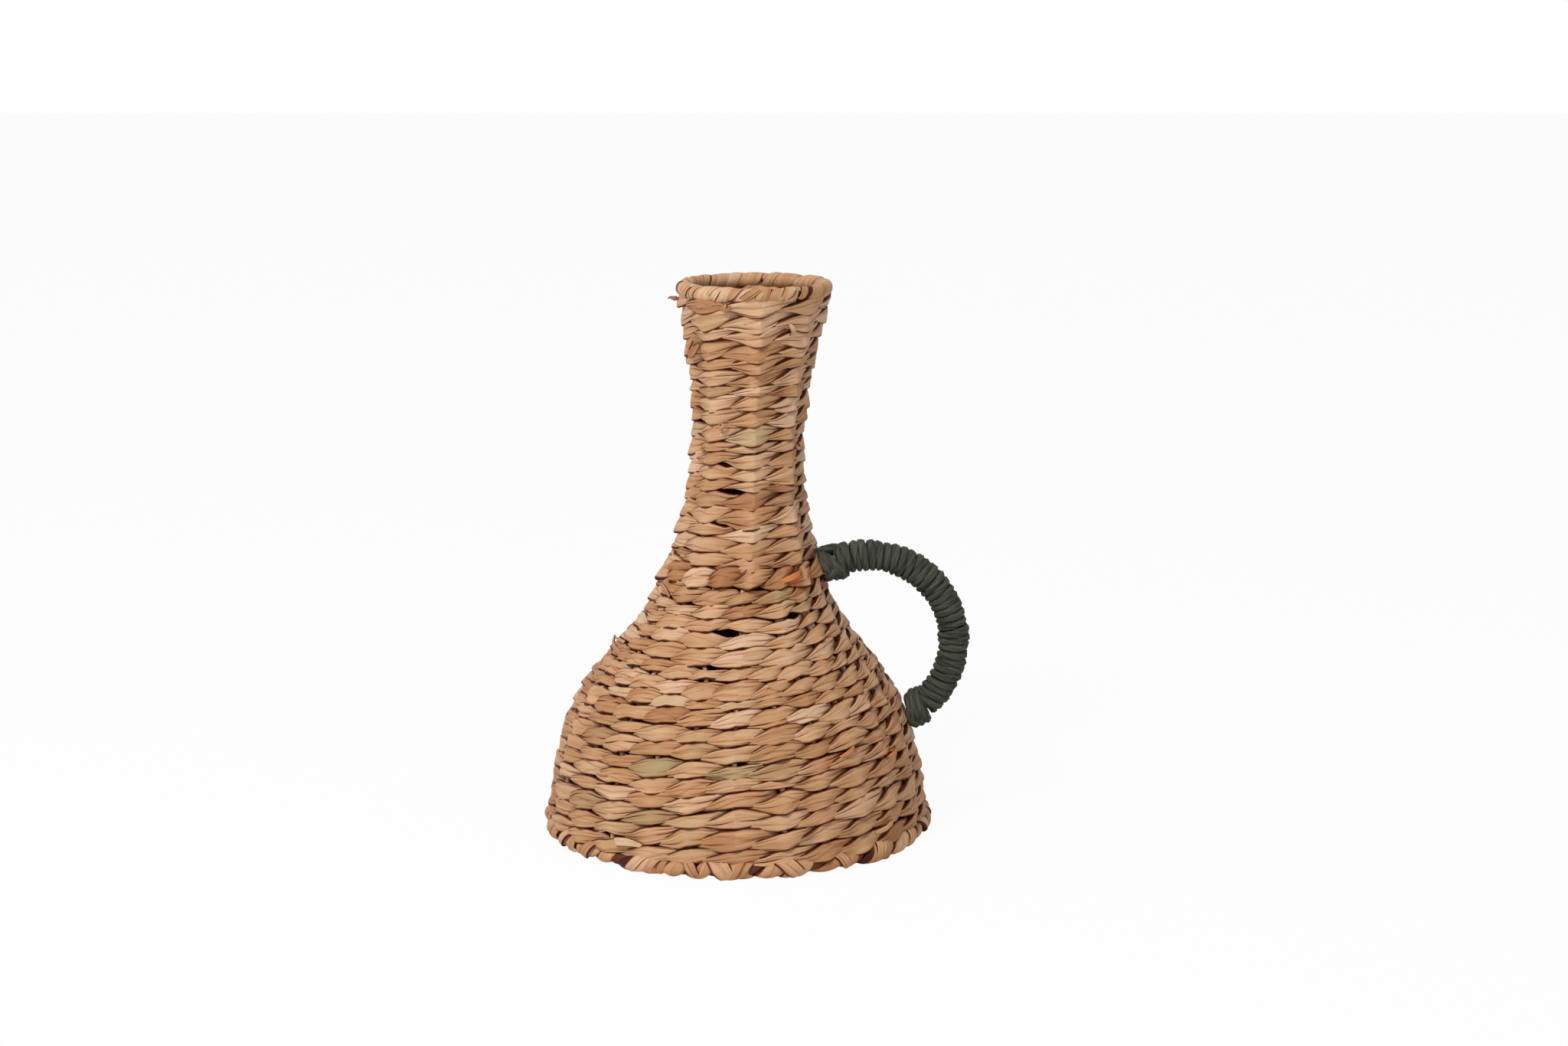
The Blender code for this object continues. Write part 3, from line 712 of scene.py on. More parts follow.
class Course:
    """One course of a stretch between two lines, and how its two strands cross.

    Late is how far a crossing is moved along the course, in ribs, climb the strand's rise as a
    share of the usual one, and bend how far the chord's corner is moved from its rib.
    """

    def __init__(self, weave, stretch, low, high, cover, draw):
        self.weave, self.stretch, self.cover = weave, stretch, cover
        self.low, self.high, self.draw = low, high, draw
        self.late = draw.uniform(-0.10, 0.10, stretch.ribs)
        self.climb = draw.uniform(0.80, 1.15, stretch.ribs)
        self.bend = draw.uniform(-0.05, 0.05, stretch.ribs)

    def place(self, x, angle, middle, out, up):
        """Points by ribs along, angle, height of the course's middle, and distances out and up.

        Between two ribs the wall is flat: its radius is multiplied by the cosine of half a rib's
        step over the cosine of the step times the way from the middle between them. Towards the
        rim six tenths of that flatness go.
        """
        step = FULL_TURN / self.stretch.ribs
        bent = np.mod(x + round_ring(self.bend, x), 1.0)
        chord = math.cos(step / 2.0) / np.cos(step * (bent - 0.5))
        rounded = 0.6 * smooth(WALL.length - 0.016, WALL.length, middle)
        chord = chord + (1.0 - chord) * rounded
        s = middle[:, None] + up + stray(angle, middle, self.weave.wobble)[:, None]
        return WALL.place(angle[:, None], s, out, chord[:, None])


# Power of the way in from a leaf's tip where it comes out and where it goes in: the lower it is,
# the sooner the leaf is wide
WIDENING = (0.85, 0.6)
# Rise at the same two tips, as a share of the climb
TIP_RISE = (-1.0, 0.7)
# Angles from the front, in radians, between which the back begins, and what a leaf's tips gain in
# width there, as a share of its course
BACK = (1.1, 1.5)
BACK_FILL = 0.50
# Width of a fold's step as a share of the leaf's half width, and of the shade at its foot in steps
FOLD_WIDTH = 0.04
FOLD_SHADE = 1.6
# Distances from the wall's middle between which an outer face sinks into painted shade, and how
# dark
SINK = (0.0005, -0.0011)
SUNK_SHADE = 0.85


def strand_width(course, leaves, place, u, tall, behind):
    """Half width of a strand, with u ribs from the rib that it passes in front of.

    It goes from the tips' width to the full one by a power of the way from a tip to a flat
    stretch over the rib. At the back the tips are wider, which closes the view through both
    walls.
    """
    weave = course.weave
    tip_out, tip_in = course.stretch.tips
    skewed = u + leaves.at("skew", place) * (1.0 - np.abs(u))
    tip = np.where(skewed < 0.0, tip_out, tip_in)
    flat = leaves.at("flat", place)
    way = np.clip((tip - np.abs(skewed)) / (tip - flat), 0.0, 1.0) ** np.where(u < 0.0, *WIDENING)
    pinch = np.interp(u, (-1.0, -0.8, 0.4, 1.0), (weave.pinch_in, weave.pinch_out,
                                                  weave.pinch_in, weave.pinch_in))
    narrow = 0.5 * tall * (pinch + BACK_FILL * behind)
    return (narrow + (0.5 * tall * course.cover - narrow) * way) * leaves.at("width", place)


def strand_face(weave, leaves, place, u, across, height, pleat):
    """Heights of a strand's faces off its middle, and the shade painted on them.

    To a leaf's section come its pleats, deepest at a crossing, two folds, each a logistic step
    across the leaf, and a crown that is one less the square of the place across.
    """
    front, side = np.cos(math.pi * u), np.sin(math.pi * u)
    half_depth = 0.5 * (weave.bunch + (weave.thickness - weave.bunch) * np.abs(front) ** 0.7)
    relief = pleated(across, leaves.at("pleats", place), leaves.at("phase", place))
    deep = weave.pleat_mid + (weave.pleat_end - weave.pleat_mid) * np.abs(side) ** 1.8
    deep = pleat * deep * leaves.at("depth", place)
    line = leaves.at("fold", place) + leaves.at("drift", place) * side[:, None]
    off_line = (across[None, :, None] - line[:, None, :]) / FOLD_WIDTH
    folds = leaves.at("step", place)[:, None, :]
    step = ((1.0 / (1.0 + np.exp(-off_line)) - 0.5) * folds).sum(-1)
    under = (np.exp(-(off_line / FOLD_SHADE) ** 2) * np.abs(folds)).sum(-1)
    inside = 1.0 - np.abs(across) ** 6
    face = np.sign(height) * np.abs(height) ** 0.5
    swell = weave.crown * leaves.at("swell", place) * np.clip(front, 0.0, 1.0)
    outwards = half_depth[:, None] * height + inside * face * (
        deep[:, None] * relief + weave.fold * step) + swell[:, None] * (1.0 - across ** 2)

    # Painted shade in the pleats' bottoms, most at a crossing, at the foot of each fold and along
    # the leaf's edges
    painted_shade = np.clip(-2.2 * relief - 0.45, 0.0, 1.0) * (0.12 + 1.1 * np.abs(side) ** 1.2)[:, None]
    painted_shade = np.maximum(painted_shade, 0.40 * under.clip(0.0, 1.0))
    edge = np.clip(np.abs(across) * 6.0 - 4.75, 0.0, 1.0)
    return outwards, np.maximum(painted_shade, edge[None, :])


def twined_strand(course, leaves, which, pleat=1.0):
    """One strand of a course, as a closed tube.

    With x ribs along, u is the distance in ribs from the rib that the strand passes in front
    of, up to one either way. Depth: the reach times a share that is one over that rib and falls
    by the bend times the size of u, and by two less the bend times its cube, to minus one behind
    the next rib. Height: straight from low where the strand comes out to high where it goes in,
    at the tips' distances from the rib.
    """
    weave, stretch = course.weave, course.stretch
    x = np.arange(stretch.ribs * stretch.steps) / stretch.steps
    share = x - np.floor(x)
    late = course.late[np.floor(x).astype(int)] * np.sin(math.pi * share) ** 2
    place = (x + late - which) / 2.0
    u = (x + late - which + 1.0) % 2.0 - 1.0
    front, side = np.cos(math.pi * u), np.sin(math.pi * u)
    low = course.low.at(x) + course.low.gap(x)
    high = course.high.at(x) - course.high.gap(x)
    middle, tall = (low + high) / 2.0, high - low
    angle = stretch.angle_at(x, middle)
    behind = smooth(*BACK, np.abs((angle + math.pi) % FULL_TURN - math.pi))

    reach = RIB_RADIUS + 0.5 * weave.thickness
    lagged = np.abs(u + leaves.at("lag", place) * (1.0 - np.abs(u)))
    bend = leaves.at("bend", place)
    depth = reach * (1.0 - bend * lagged - (2.0 - bend) * lagged ** 3)
    depth = depth + leaves.at("proud", place) * np.clip(front, 0.0, 1.0)
    climb = weave.climb * round_ring(course.climb, x + 0.5)
    tip_out, tip_in = stretch.tips
    rise = climb * tall * np.interp(u, (-1.0, -tip_out, tip_in, 1.0), (0.0, *TIP_RISE, 0.0))
    rise = rise + leaves.at("shift", place)
    tilt = (weave.shingle + leaves.at("roll", place)) * np.abs(front) - weave.tilt * np.abs(side)
    cos, sin = np.cos(tilt)[:, None], np.sin(tilt)[:, None]

    across, height = leaf_profile(*TWINED_COLUMNS)
    sideways = strand_width(course, leaves, place, u, tall, behind)[:, None] * across
    outwards, painted_shade = strand_face(weave, leaves, place, u, across, height, pleat)
    out = depth[:, None] - sin * sideways + cos * outwards
    up = rise[:, None] + cos * sideways + sin * outwards
    points = course.place(x, angle, middle, out, up)

    tone_cast, hue_cast = cast_at(angle, np.interp(middle, WALL.s, WALL.z), which)
    tone, hue = leaves.at("tone", place) + tone_cast, leaves.at("hue", place) + hue_cast
    # Painted shade on outer faces that sink below the wall's middle, behind the ribs and between
    # leaves
    painted_shade = np.maximum(painted_shade, SUNK_SHADE * smooth(*SINK, out) * (height > 0.0))
    run = x * (FULL_TURN / stretch.ribs) * WALL.radius(middle.mean()) / MM
    run = run + course.draw.uniform(0.0, FIBRE_SHIFT)
    return Patch(points, (tone[:, None], hue[:, None], painted_shade), run, across * TWINED_HALF, True)


def build_courses(scene, stretch, cover, material, dip=0.0):
    """The courses of a stretch, one piece each, numbered from its first."""
    weave = scene.bud_vase_weave
    lines = course_lines(weave, stretch, dip)
    for i, (low, high) in enumerate(zip(lines[:-1], lines[1:])):
        draw = np.random.default_rng((weave.seed, stretch.seed, i))
        course = Course(weave, stretch, low, high, cover, draw)
        strands = [twined_strand(course, Leaves(draw, stretch.ribs // 2, 0.52, 0.48,
                                                *stretch.widths), which + i % 2)
                   for which in (0, 1)]
        add_piece(f"{stretch.piece}_twining_{stretch.first + i:02d}", strands, material,
                  [f"{stretch.piece}_course_{stretch.first + i:02d}"])


# Materials

def plug(tree, item, **links):
    """Set a node's inputs, by name or number: a value is set and a socket is linked."""
    for key, value in links.items():
        socket = item.inputs[int(key[1:]) if key[1:].isdigit() else key.replace("_", " ")]
        if isinstance(value, bpy.types.NodeSocket):
            tree.links.new(value, socket)
        else:
            socket.default_value = value
    return item


def node(tree, kind, settings=None, **links):
    """Add a node, set its properties and its inputs."""
    item = tree.nodes.new(kind)
    for key, value in (settings or {}).items():
        setattr(item, key, value)
    return plug(tree, item, **links)


def fibre_patterns(tree, sizes):
    """Noise drawn out along the piece's own fibres, for each pair of millimetres along and
    across that a streak takes up."""
    uv = node(tree, "ShaderNodeUVMap", {"uv_map": "fibre"}).outputs["UV"]
    patterns = []
    for along, across in sizes:
        scaled = node(tree, "ShaderNodeMapping", Vector=uv, Scale=(1.0 / along, 1.0 / across, 1.0))
        patterns.append(node(tree, "ShaderNodeTexNoise", Vector=scaled.outputs["Vector"],
                             Scale=1.0, Detail=3.0).outputs["Fac"])
    return patterns


def patchy(tree, per_metre):
    """Noise over the object's own metres, with so many features to a metre."""
    where = node(tree, "ShaderNodeTexCoord").outputs["Object"]
    return node(tree, "ShaderNodeTexNoise", Vector=where, Scale=per_metre, Detail=3.0
                ).outputs["Fac"]


def swayed(tree, value, sways):
    """A value swayed by patterns, each by up to half its size either way."""
    for pattern, size in sways:
        centred = node(tree, "ShaderNodeMath", {"operation": "SUBTRACT"}, _0=pattern, _1=0.5)
        value = node(tree, "ShaderNodeMath", {"operation": "MULTIPLY_ADD"},
                     _0=centred.outputs[0], _1=size, _2=value).outputs[0]
    return value


def laid_over(tree, base, layers):
    """Colours laid over a base in turn: each has a value, where it starts and where it reaches
    its full share, that share and the colour."""
    for value, start, full, share, shade in layers:
        amount = node(tree, "ShaderNodeMapRange", Value=value, From_Min=start, From_Max=full,
                      To_Max=share).outputs["Result"]
        base = node(tree, "ShaderNodeMix", {"data_type": "RGBA"}, _0=amount, _6=base, _7=shade
                    ).outputs[2]
    return base


def new_material(name):
    material = bpy.data.materials.new(name)
    material.use_nodes = True
    tree = material.node_tree
    return material, tree, tree.nodes["Principled BSDF"]


def own_looks(tree):
    """Tone, hue and painted shade that a piece carries in its points."""
    look = node(tree, "ShaderNodeAttribute", {"attribute_name": "leaf"}).outputs["Color"]
    return node(tree, "ShaderNodeSeparateColor", Color=look).outputs


def leaf_material(scene):
    """Dried cattail leaf, split and pressed flat by hand.

    A satin skin over straight fibres: veins 0.45 mm apart run the leaf's length and show as
    pale and dark streaks, with broad blotches where it dried unevenly.
    """
    shades = scene.bud_vase_colours
    material, tree, shader = new_material("dried_leaf")
    tone, hue, painted_shade = own_looks(tree)
    veins, bands = fibre_patterns(tree, ((22.0, 0.45), (45.0, 2.2)))
    light = swayed(tree, tone, ((veins, 0.85), (bands, 0.85), (patchy(tree, 70.0), 0.65)))
    base = laid_over(tree, shades.tan, (
        (light, 0.50, 0.05, 1.0, shades.brown), (light, 0.50, 0.95, 1.0, shades.pale),
        (hue, 0.38, 0.05, 0.55, shades.red), (hue, 0.60, 1.0, 0.8, shades.green),
        (hue, 0.0, -0.6, 0.9, shades.orange),
        # Painted shade from the pieces' own values: warm first, then dark in pleats, gaps, hollows
        # and along edges
        (painted_shade, 0.02, 0.40, 0.80, shades.painted_warm_shade), (painted_shade, 0.26, 0.80, 0.97, shades.painted_shade)))
    sheen = node(tree, "ShaderNodeMapRange", Value=veins, From_Min=0.3, From_Max=0.7,
                 To_Min=0.60, To_Max=0.46).outputs["Result"]
    bump = node(tree, "ShaderNodeBump", Strength=0.6, Distance=0.0003, Height=veins)
    plug(tree, shader, Base_Color=base, Normal=bump.outputs["Normal"], Roughness=sheen, IOR=1.28)
    return material


def cord_material(scene):
    """Twisted paper cord, dyed grey green and left matt.

    The cord's crests are painted lighter, as a highlight, and its wrinkles and the groove between
    its plies darker, as shade. The fibres run along the cord, drawn 0.3 mm apart.
    """
    shades = scene.bud_vase_colours
    material, tree, shader = new_material("paper_cord")
    tone = own_looks(tree)[0]
    fibres, streaks = fibre_patterns(tree, ((7.0, 0.30), (14.0, 1.1)))
    light = swayed(tree, tone, ((fibres, 0.9), (streaks, 1.1), (patchy(tree, 160.0), 0.5)))
    base = laid_over(tree, shades.cord_mid, ((light, 0.50, 0.05, 1.0, shades.cord_dark),
                                             (light, 0.50, 0.95, 1.0, shades.cord_light)))
    bump = node(tree, "ShaderNodeBump", Strength=0.5, Distance=0.0003, Height=fibres)
    plug(tree, shader, Base_Color=base, Normal=bump.outputs["Normal"], Roughness=0.78, IOR=1.35)
    return material


def plain_material(name, shade, grain, roughness):
    """Cane or lacquered wire: a worn surface whose tone changes every millimetre or two."""
    material, tree, shader = new_material(name)
    worn = patchy(tree, grain)
    darker = tuple(0.6 * c for c in shade[:3]) + (1.0,)
    base = laid_over(tree, shade, ((worn, 0.7, 0.3, 1.0, darker),))
    bump = node(tree, "ShaderNodeBump", Strength=0.2, Distance=0.0002, Height=worn)
    plug(tree, shader, Base_Color=base, Normal=bump.outputs["Normal"], Roughness=roughness)
    return material


def coat(part, *values):
    """Give a solid that is shown as it is a plain material of its own."""
    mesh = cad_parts[part].data
    mesh.materials.clear()
    mesh.materials.append(plain_material(*values))


def leaf(scene):
    """The leaf's material, made the first time that it is asked for."""
    return bpy.data.materials.get("dried_leaf") or leaf_material(scene)


def cord(scene):
    """The same for the cord."""
    return bpy.data.materials.get("paper_cord") or cord_material(scene)


class BudVasePart(bpy.types.Operator):
    """Common ground of the vase's operators: each one builds its part of the scene"""
    bl_options = {"REGISTER", "UNDO"}

    def execute(self, context):
        self.build(context.scene)
        return {"FINISHED"}


class BUDVASE_OT_body_weave(BudVasePart):
    """Twine the body's courses of leaf over its ribs"""
    bl_idname = "budvase.body_weave"
    bl_label = "Body Weave"

    def build(self, scene):
        cover = scene.bud_vase_weave.cover
        build_courses(scene, LOWER_BODY, cover, leaf(scene))
        build_courses(scene, UPPER_BODY, cover * UPPER_WIDER, leaf(scene))


class BUDVASE_OT_neck_weave(BudVasePart):
    """Twine the neck's courses of leaf over its eight ribs"""
    bl_idname = "budvase.neck_weave"
    bl_label = "Neck Weave"

    def build(self, scene):
        weave = scene.bud_vase_weave
        build_courses(scene, NECK, weave.neck_cover, leaf(scene), weave.dip)


class BUDVASE_OT_shoulder_band(BudVasePart):
    """Twist the thick band that joins the neck's weave to the body's"""
    bl_idname = "budvase.shoulder_band"
    bl_label = "Shoulder Band"

    # Width of a leaf as a share of the band, and depth of its pleats as a share of the courses'
    COVER = 1.36
    PLEATS = 2.4
    # How far the band's two edges stray, and how far a leaf stands proud at least and at most
    STRAY = 0.0008
    PROUD = (0.0004, 0.0014)

    def build(self, scene):
        weave = scene.bud_vase_weave
        draw = np.random.default_rng((weave.seed, BAND.seed))
        strays = self.STRAY * draw.standard_normal((2, BAND.ribs)).clip(-1.5, 1.5)
        course = Course(weave, BAND, Line(BAND.low + strays[0]), Line(BAND.high + strays[1]),
                        self.COVER, draw)
        strands = []
        for which in (0, 1):
            leaves = Leaves(draw, BAND.ribs // 2, 0.45, 0.40, *BAND.widths)
            leaves.proud = leaves.proud + draw.uniform(*self.PROUD, len(leaves.proud))
            strands.append(twined_strand(course, leaves, which, self.PLEATS))
        add_piece("shoulder_twist", strands, leaf(scene), ["shoulder_band"])


RIB_COLUMNS = 9
# Steps up a long rib and a short one, and round the shoulder ring
LONG_RIB_STEPS = 160
SHORT_RIB_STEPS = 100
RING_STEPS = 120
# Lengths below and above the first upper course between which the body's ribs draw together, and
# the share of their distance from the shared place that they keep
DRAWN = (0.006, 0.004)
KEPT_APART = 0.2
# Pitch of the strip of leaf that a rib is wrapped in, and how far it swells the rib
WRAP_PITCH = 0.006
WRAP_SWELL = 0.00012
# Millimetres of fibre pattern to a radian of the shoulder ring
RING_RUN = 36.0


def nearest_rib(angle_at, k, s, first, count):
    """Number of the rib, of a count spread evenly from the first, nearest to another rib."""
    return int(round((float(angle_at(np.array(float(k)), s)) - first) / FULL_TURN * count))


def body_rib_line(k, s):
    """Angle of a body rib up the wall: its own below, and above drawn towards the nearest of the
    places where the top courses cross, where two ribs may share one."""
    own = body_angle(np.full_like(s, k), s)
    place = nearest_rib(body_angle, k, UPPER_S, UPPER_RIB_ANGLE, UPPER_RIBS)
    shared = upper_angle(np.full_like(s, place), s)
    apart = body_angle(np.array(float(k)), UPPER_S) - upper_angle(np.array(float(place)), UPPER_S)
    share = smooth(UPPER_S - DRAWN[0], UPPER_S + DRAWN[1], s)
    return own * (1.0 - share) + (shared + KEPT_APART * apart) * share


def rib_patch(angle_at, lengths, draw):
    """A wire rib wrapped in a narrow strip of leaf.

    A circle carried up the rib line, its radius swelled by a sine of the angle round the rib
    plus the length in turns of the strip.
    """
    s = np.asarray(lengths)[:, None]
    around = round_steps(RIB_COLUMNS)[None, :]
    wave = np.sin(around + s * FULL_TURN / WRAP_PITCH)
    radius = RIB_RADIUS + WRAP_SWELL * wave
    angle = angle_at(s) + radius * np.sin(around) / WALL.radius(s)
    points = WALL.place(angle, s, radius * np.cos(around))
    # Painted shade in the grooves between the turns of the wrapping strip
    looks = (draw.uniform(0.5, 0.9), 0.5, 0.5 * np.clip(-wave - 0.6, 0.0, 1.0))
    return Patch(points, looks, s[:, 0] / MM, around[0] * RIB_RADIUS / MM, False)


class BUDVASE_OT_ribs(BudVasePart):
    """Stand the leaf-wrapped wire ribs and the shoulder ring"""
    bl_idname = "budvase.ribs"
    bl_label = "Ribs"

    def build(self, scene):
        draw = np.random.default_rng(21)
        patches, carried_on = [], []
        for k in range(NECK_RIBS):
            below = nearest_rib(neck_angle, k, BAND_HIGH, BODY_RIB_ANGLE, BODY_RIBS)
            carried_on.append(below % BODY_RIBS)

            def angle_at(s, k=k, below=below):
                share = smooth(BAND_LOW - 0.003, BAND_HIGH + 0.003, s)
                return (body_rib_line(below, s) * (1.0 - share)
                        + neck_angle(np.full_like(s, k), s) * share)

            lengths = np.linspace(0.0, WALL.length, LONG_RIB_STEPS)
            patches.append(rib_patch(angle_at, lengths, draw))
        for k in range(BODY_RIBS):
            if k not in carried_on:
                lengths = np.linspace(0.0, RING_S, SHORT_RIB_STEPS)
                patches.append(rib_patch(lambda s, k=k: body_rib_line(k, s), lengths, draw))
        angle = round_steps(RING_STEPS)[:, None]
        around = round_steps(RIB_COLUMNS)[None, :]
        points = WALL.place(angle, RING_S + RIB_RADIUS * np.sin(around),
                            RIB_RADIUS * np.cos(around))
        # The shoulder ring carries half the painted shade all over
        patches.append(Patch(points, (0.5, 0.5, 0.5), angle[:, 0] * RING_RUN, around[0], True))
        add_piece("wrapped_ribs", patches, leaf(scene), ["wire_frame"])


# Steps in a turn of a wound strip, and the depth of its pleats
TURN_STEPS = 24
WOUND_PLEAT = 0.00010
# Least height of a flat foot, and what it gains from one edge of the strip to its middle
FOOT_CLEAR = 0.00002
FOOT_RISE = 0.0002


def wound_ring(draw, dark, radius, height, tube, turns, cover, strip, lap, bulge, lumps,
               uneven=0.5, shade=0.0, flat_foot=False):
    """Strip of leaf wound round a hoop.

    With t turns along the strip, the angle round the tube is t full turns from the top, and the
    place round the vase goes back by one uneven pitch a turn, plus the place across times half
    the strip's width. The tube's radius rises across the strip by the lap, so that each turn's
    edge lies on the next, and each turn stands proud by a draw of its own. Shade is painted into
    the pleats, along the edges and beside the line where the next turn lies over the strip. The
    shade argument is the least painted shade, for a layer that only shows between the turns of the
    next.
    """
    t = np.arange(turns * TURN_STEPS) / TURN_STEPS
    turn = np.floor(t).astype(int)
    across, height_of = leaf_profile(*WOUND_COLUMNS)
    pitches = draw.uniform(1.05 - uneven, 1.05 + uneven, turns)
    covers = cover * draw.uniform(1.0 - 0.5 * uneven, 1.0, turns)
    starts = np.concatenate(([0.0], np.cumsum(pitches))) * FULL_TURN / pitches.sum()
    pitches = np.diff(starts)
    tone = (dark + 0.15 * draw.standard_normal(turns)).clip(0.0, 1.0)
    hue = (dark - 0.08 + 0.12 * draw.standard_normal(turns)).clip(0.0, 1.0)
    proud = lumps * draw.uniform(0.0, 1.0, turns)
    slant = 0.5 * uneven * draw.standard_normal(turns).clip(-1.5, 1.5)
    pleats = draw.uniform((1.5, 3.5, 6.0), (3.5, 6.0, 9.0), (turns, 3))
    phases = draw.uniform(0.0, 1.0, (turns, 3))

    def along(values):
        return round_ring(values, t, *TURN_OVER)

    centre = -(starts[turn] + (t - turn) * pitches[turn] + along(slant * pitches))
    half = 0.5 * along(pitches * covers)
    round_tube = FULL_TURN * t
    relief = pleated(across, along(pleats), along(phases))
    face = np.where(height_of > 0.0, 1.0, 0.0) * (1.0 - across ** 6)
    lift = lap * (0.5 * across - 0.2)[None, :] + along(proud)[:, None]
    swell = bulge * (1.0 - across ** 2)[None, :]
    pleat = WOUND_PLEAT * along(draw.uniform(0.1, 1.9, turns))[:, None]
    away = tube + lift + swell + strip * 0.5 * height_of + pleat * relief * face
    z = height + away * np.cos(round_tube)[:, None]
    if flat_foot:
        z = np.maximum(z, FOOT_CLEAR + FOOT_RISE * (1.0 + across)[None, :])
    points = WALL.turned(centre[:, None] + half[:, None] * across,
                         radius + away * np.sin(round_tube)[:, None], z)
    # Painted shade in the pleats' bottoms, along the strip's edges and beside the line where the
    # next turn lies over it
    painted_shade = np.clip(-relief - 0.1, 0.0, 1.0) * 0.8
    line = 1.02 - 2.0 / along(covers)[:, None]
    edge = np.maximum(np.clip((np.abs(across) - 0.93) / 0.05, 0.0, 1.0),
                      0.95 * smooth(line + 0.05, line - 0.03, across))
    painted_shade = np.maximum(np.maximum(painted_shade, edge), shade)
    return Patch(points, (along(tone)[:, None], along(hue)[:, None], painted_shade),
                 t * FULL_TURN * tube / MM, across * WOUND_HALF, True)


# Strips that cross the rim's winding: angle from the front, way along the hoop in millimetres,
# first and last angle round the tube from its top in degrees, width in millimetres
RIM_STRIPS = (
    (-2.0, 11.0, 150.0, 0.0, 3.6), (4.0, 3.0, 150.0, 30.0, 3.0), (26.0, -7.0, -20.0, 150.0, 5.0),
    (40.0, 5.0, 150.0, -30.0, 3.4), (-30.0, 6.0, 150.0, -10.0, 5.0),
    (-62.0, 7.0, 150.0, -20.0, 6.0), (-84.0, -6.0, 150.0, 0.0, 3.4),
    (118.0, 9.0, 140.0, 0.0, 4.0), (-110.0, -7.0, 0.0, 140.0, 4.4),
)


# How deep a crossing strip's ends are tucked in, the depth of its pleats, and the least heights
# of its middle and of its faces
TUCK = 0.0010
CROSSING_PLEAT = 0.00028
LOWEST_MIDDLE = 0.0004
LOWEST_FACE = 0.0001


def crossing_strips(draw, radius, height, tube, over, thickness, strips):
    """Strips laid aslant over a wound hoop, with both ends tucked in.

    The angle round the vase and the angle round the tube change evenly. The distance from the
    tube's axis is its radius plus a draw of the height over it, less the cube of the way from
    the strip's middle, so the ends lie below the winding.
    """
    def place(angle, turn, away):
        return WALL.turned(angle, radius + away * np.sin(turn),
                           np.maximum(height + away * np.cos(turn), LOWEST_MIDDLE))

    patches = []
    for at, way, first, last, width in strips:
        share = np.linspace(0.0, 1.0, 7)
        sunk = (over + TUCK) * np.abs(2.0 * share - 1.0) ** 3
        off = tube + draw.uniform(0.3, 1.0) * over - sunk
        knots = np.stack([math.radians(at) + (share - 0.5) * way * MM / radius,
                          np.radians(first + (last - first) * share), off], axis=-1)
        widths = np.array((0.75, draw.uniform(0.9, 1.1), 1.1, draw.uniform(0.8, 1.0), 0.7))
        patch = leaf_strip(place, knots, widths * width * MM, draw, draw.uniform(0.30, 0.72),
                           draw.uniform(0.30, 0.55), thickness, CROSSING_PLEAT)
        patch.points[..., 2] = np.maximum(patch.points[..., 2], LOWEST_FACE)
        patches.append(patch)
    return patches


class BUDVASE_OT_rim(BudVasePart):
    """Wind the strip of leaf round the rim wire"""
    bl_idname = "budvase.rim"
    bl_label = "Rim"

    # Lower and upper layer: tone, depth below the tube's face, turns fewer than the rim's, lumps
    LAYERS = ((0.5, 0.0006, 5, 0.0), (0.62, 0.0004, 0, 0.0003))

    def build(self, scene):
        rings = scene.bud_vase_rings
        draw = np.random.default_rng(41)
        middle = HEIGHT - RIM_TUBE
        looks = (rings.cover, rings.strip, rings.rim_lap, rings.rim_bulge)
        patches = [wound_ring(draw, tone, RIM_RADIUS, middle, RIM_TUBE - below,
                              rings.rim_turns - fewer, *looks, lumps)
                   for tone, below, fewer, lumps in self.LAYERS]
        patches += crossing_strips(draw, RIM_RADIUS, middle, RIM_TUBE, over=0.0004,
                                   thickness=0.0009, strips=RIM_STRIPS)
        add_piece("rim_winding", patches, leaf(scene), ["rim_wrap"])
        coat("rim_wire", "rim_wire_lacquered", scene.bud_vase_colours.wire, 900.0, 0.45)


BASE_STRIPS = 24


class BUDVASE_OT_base_ring(BudVasePart):
    """Wind the strips of leaf round the base ring"""
    bl_idname = "budvase.base_ring"
    bl_label = "Base Ring"

    # Lower and upper layer: tone, depth below the tube's face, turns fewer than the foot's, share
    # of the lumps, unevenness and shade
    LAYERS = ((0.3, 0.0028, 9, 0.0, 0.5, 0.7), (0.4, 0.0022, 0, 1.0, 0.65, 0.0))

    def build(self, scene):
        rings = scene.bud_vase_rings
        draw = np.random.default_rng(43)
        height = BASE_TUBE + 0.0004
        looks = (rings.cover, rings.strip, rings.base_lap, rings.base_bulge)
        patches = [wound_ring(draw, tone, BASE_RADIUS, height, BASE_TUBE - below,
                              rings.base_turns - fewer, *looks, lumps * rings.base_lumps,
                              uneven, shade, flat_foot=True)
                   for tone, below, fewer, lumps, uneven, shade in self.LAYERS]
        strips = [(360.0 * (k + draw.uniform(-0.3, 0.3)) / BASE_STRIPS,
                   draw.choice((-1.0, 1.0)) * draw.uniform(5.0, 14.0), draw.uniform(-50.0, -10.0),
                   draw.uniform(140.0, 175.0), draw.uniform(4.5, 9.0))
                  for k in range(BASE_STRIPS)]
        patches += crossing_strips(draw, BASE_RADIUS, height, BASE_TUBE - 0.0004, over=0.0012,
                                   thickness=0.0018, strips=strips)
        add_piece("base_winding", patches, leaf(scene), ["base_ring"])


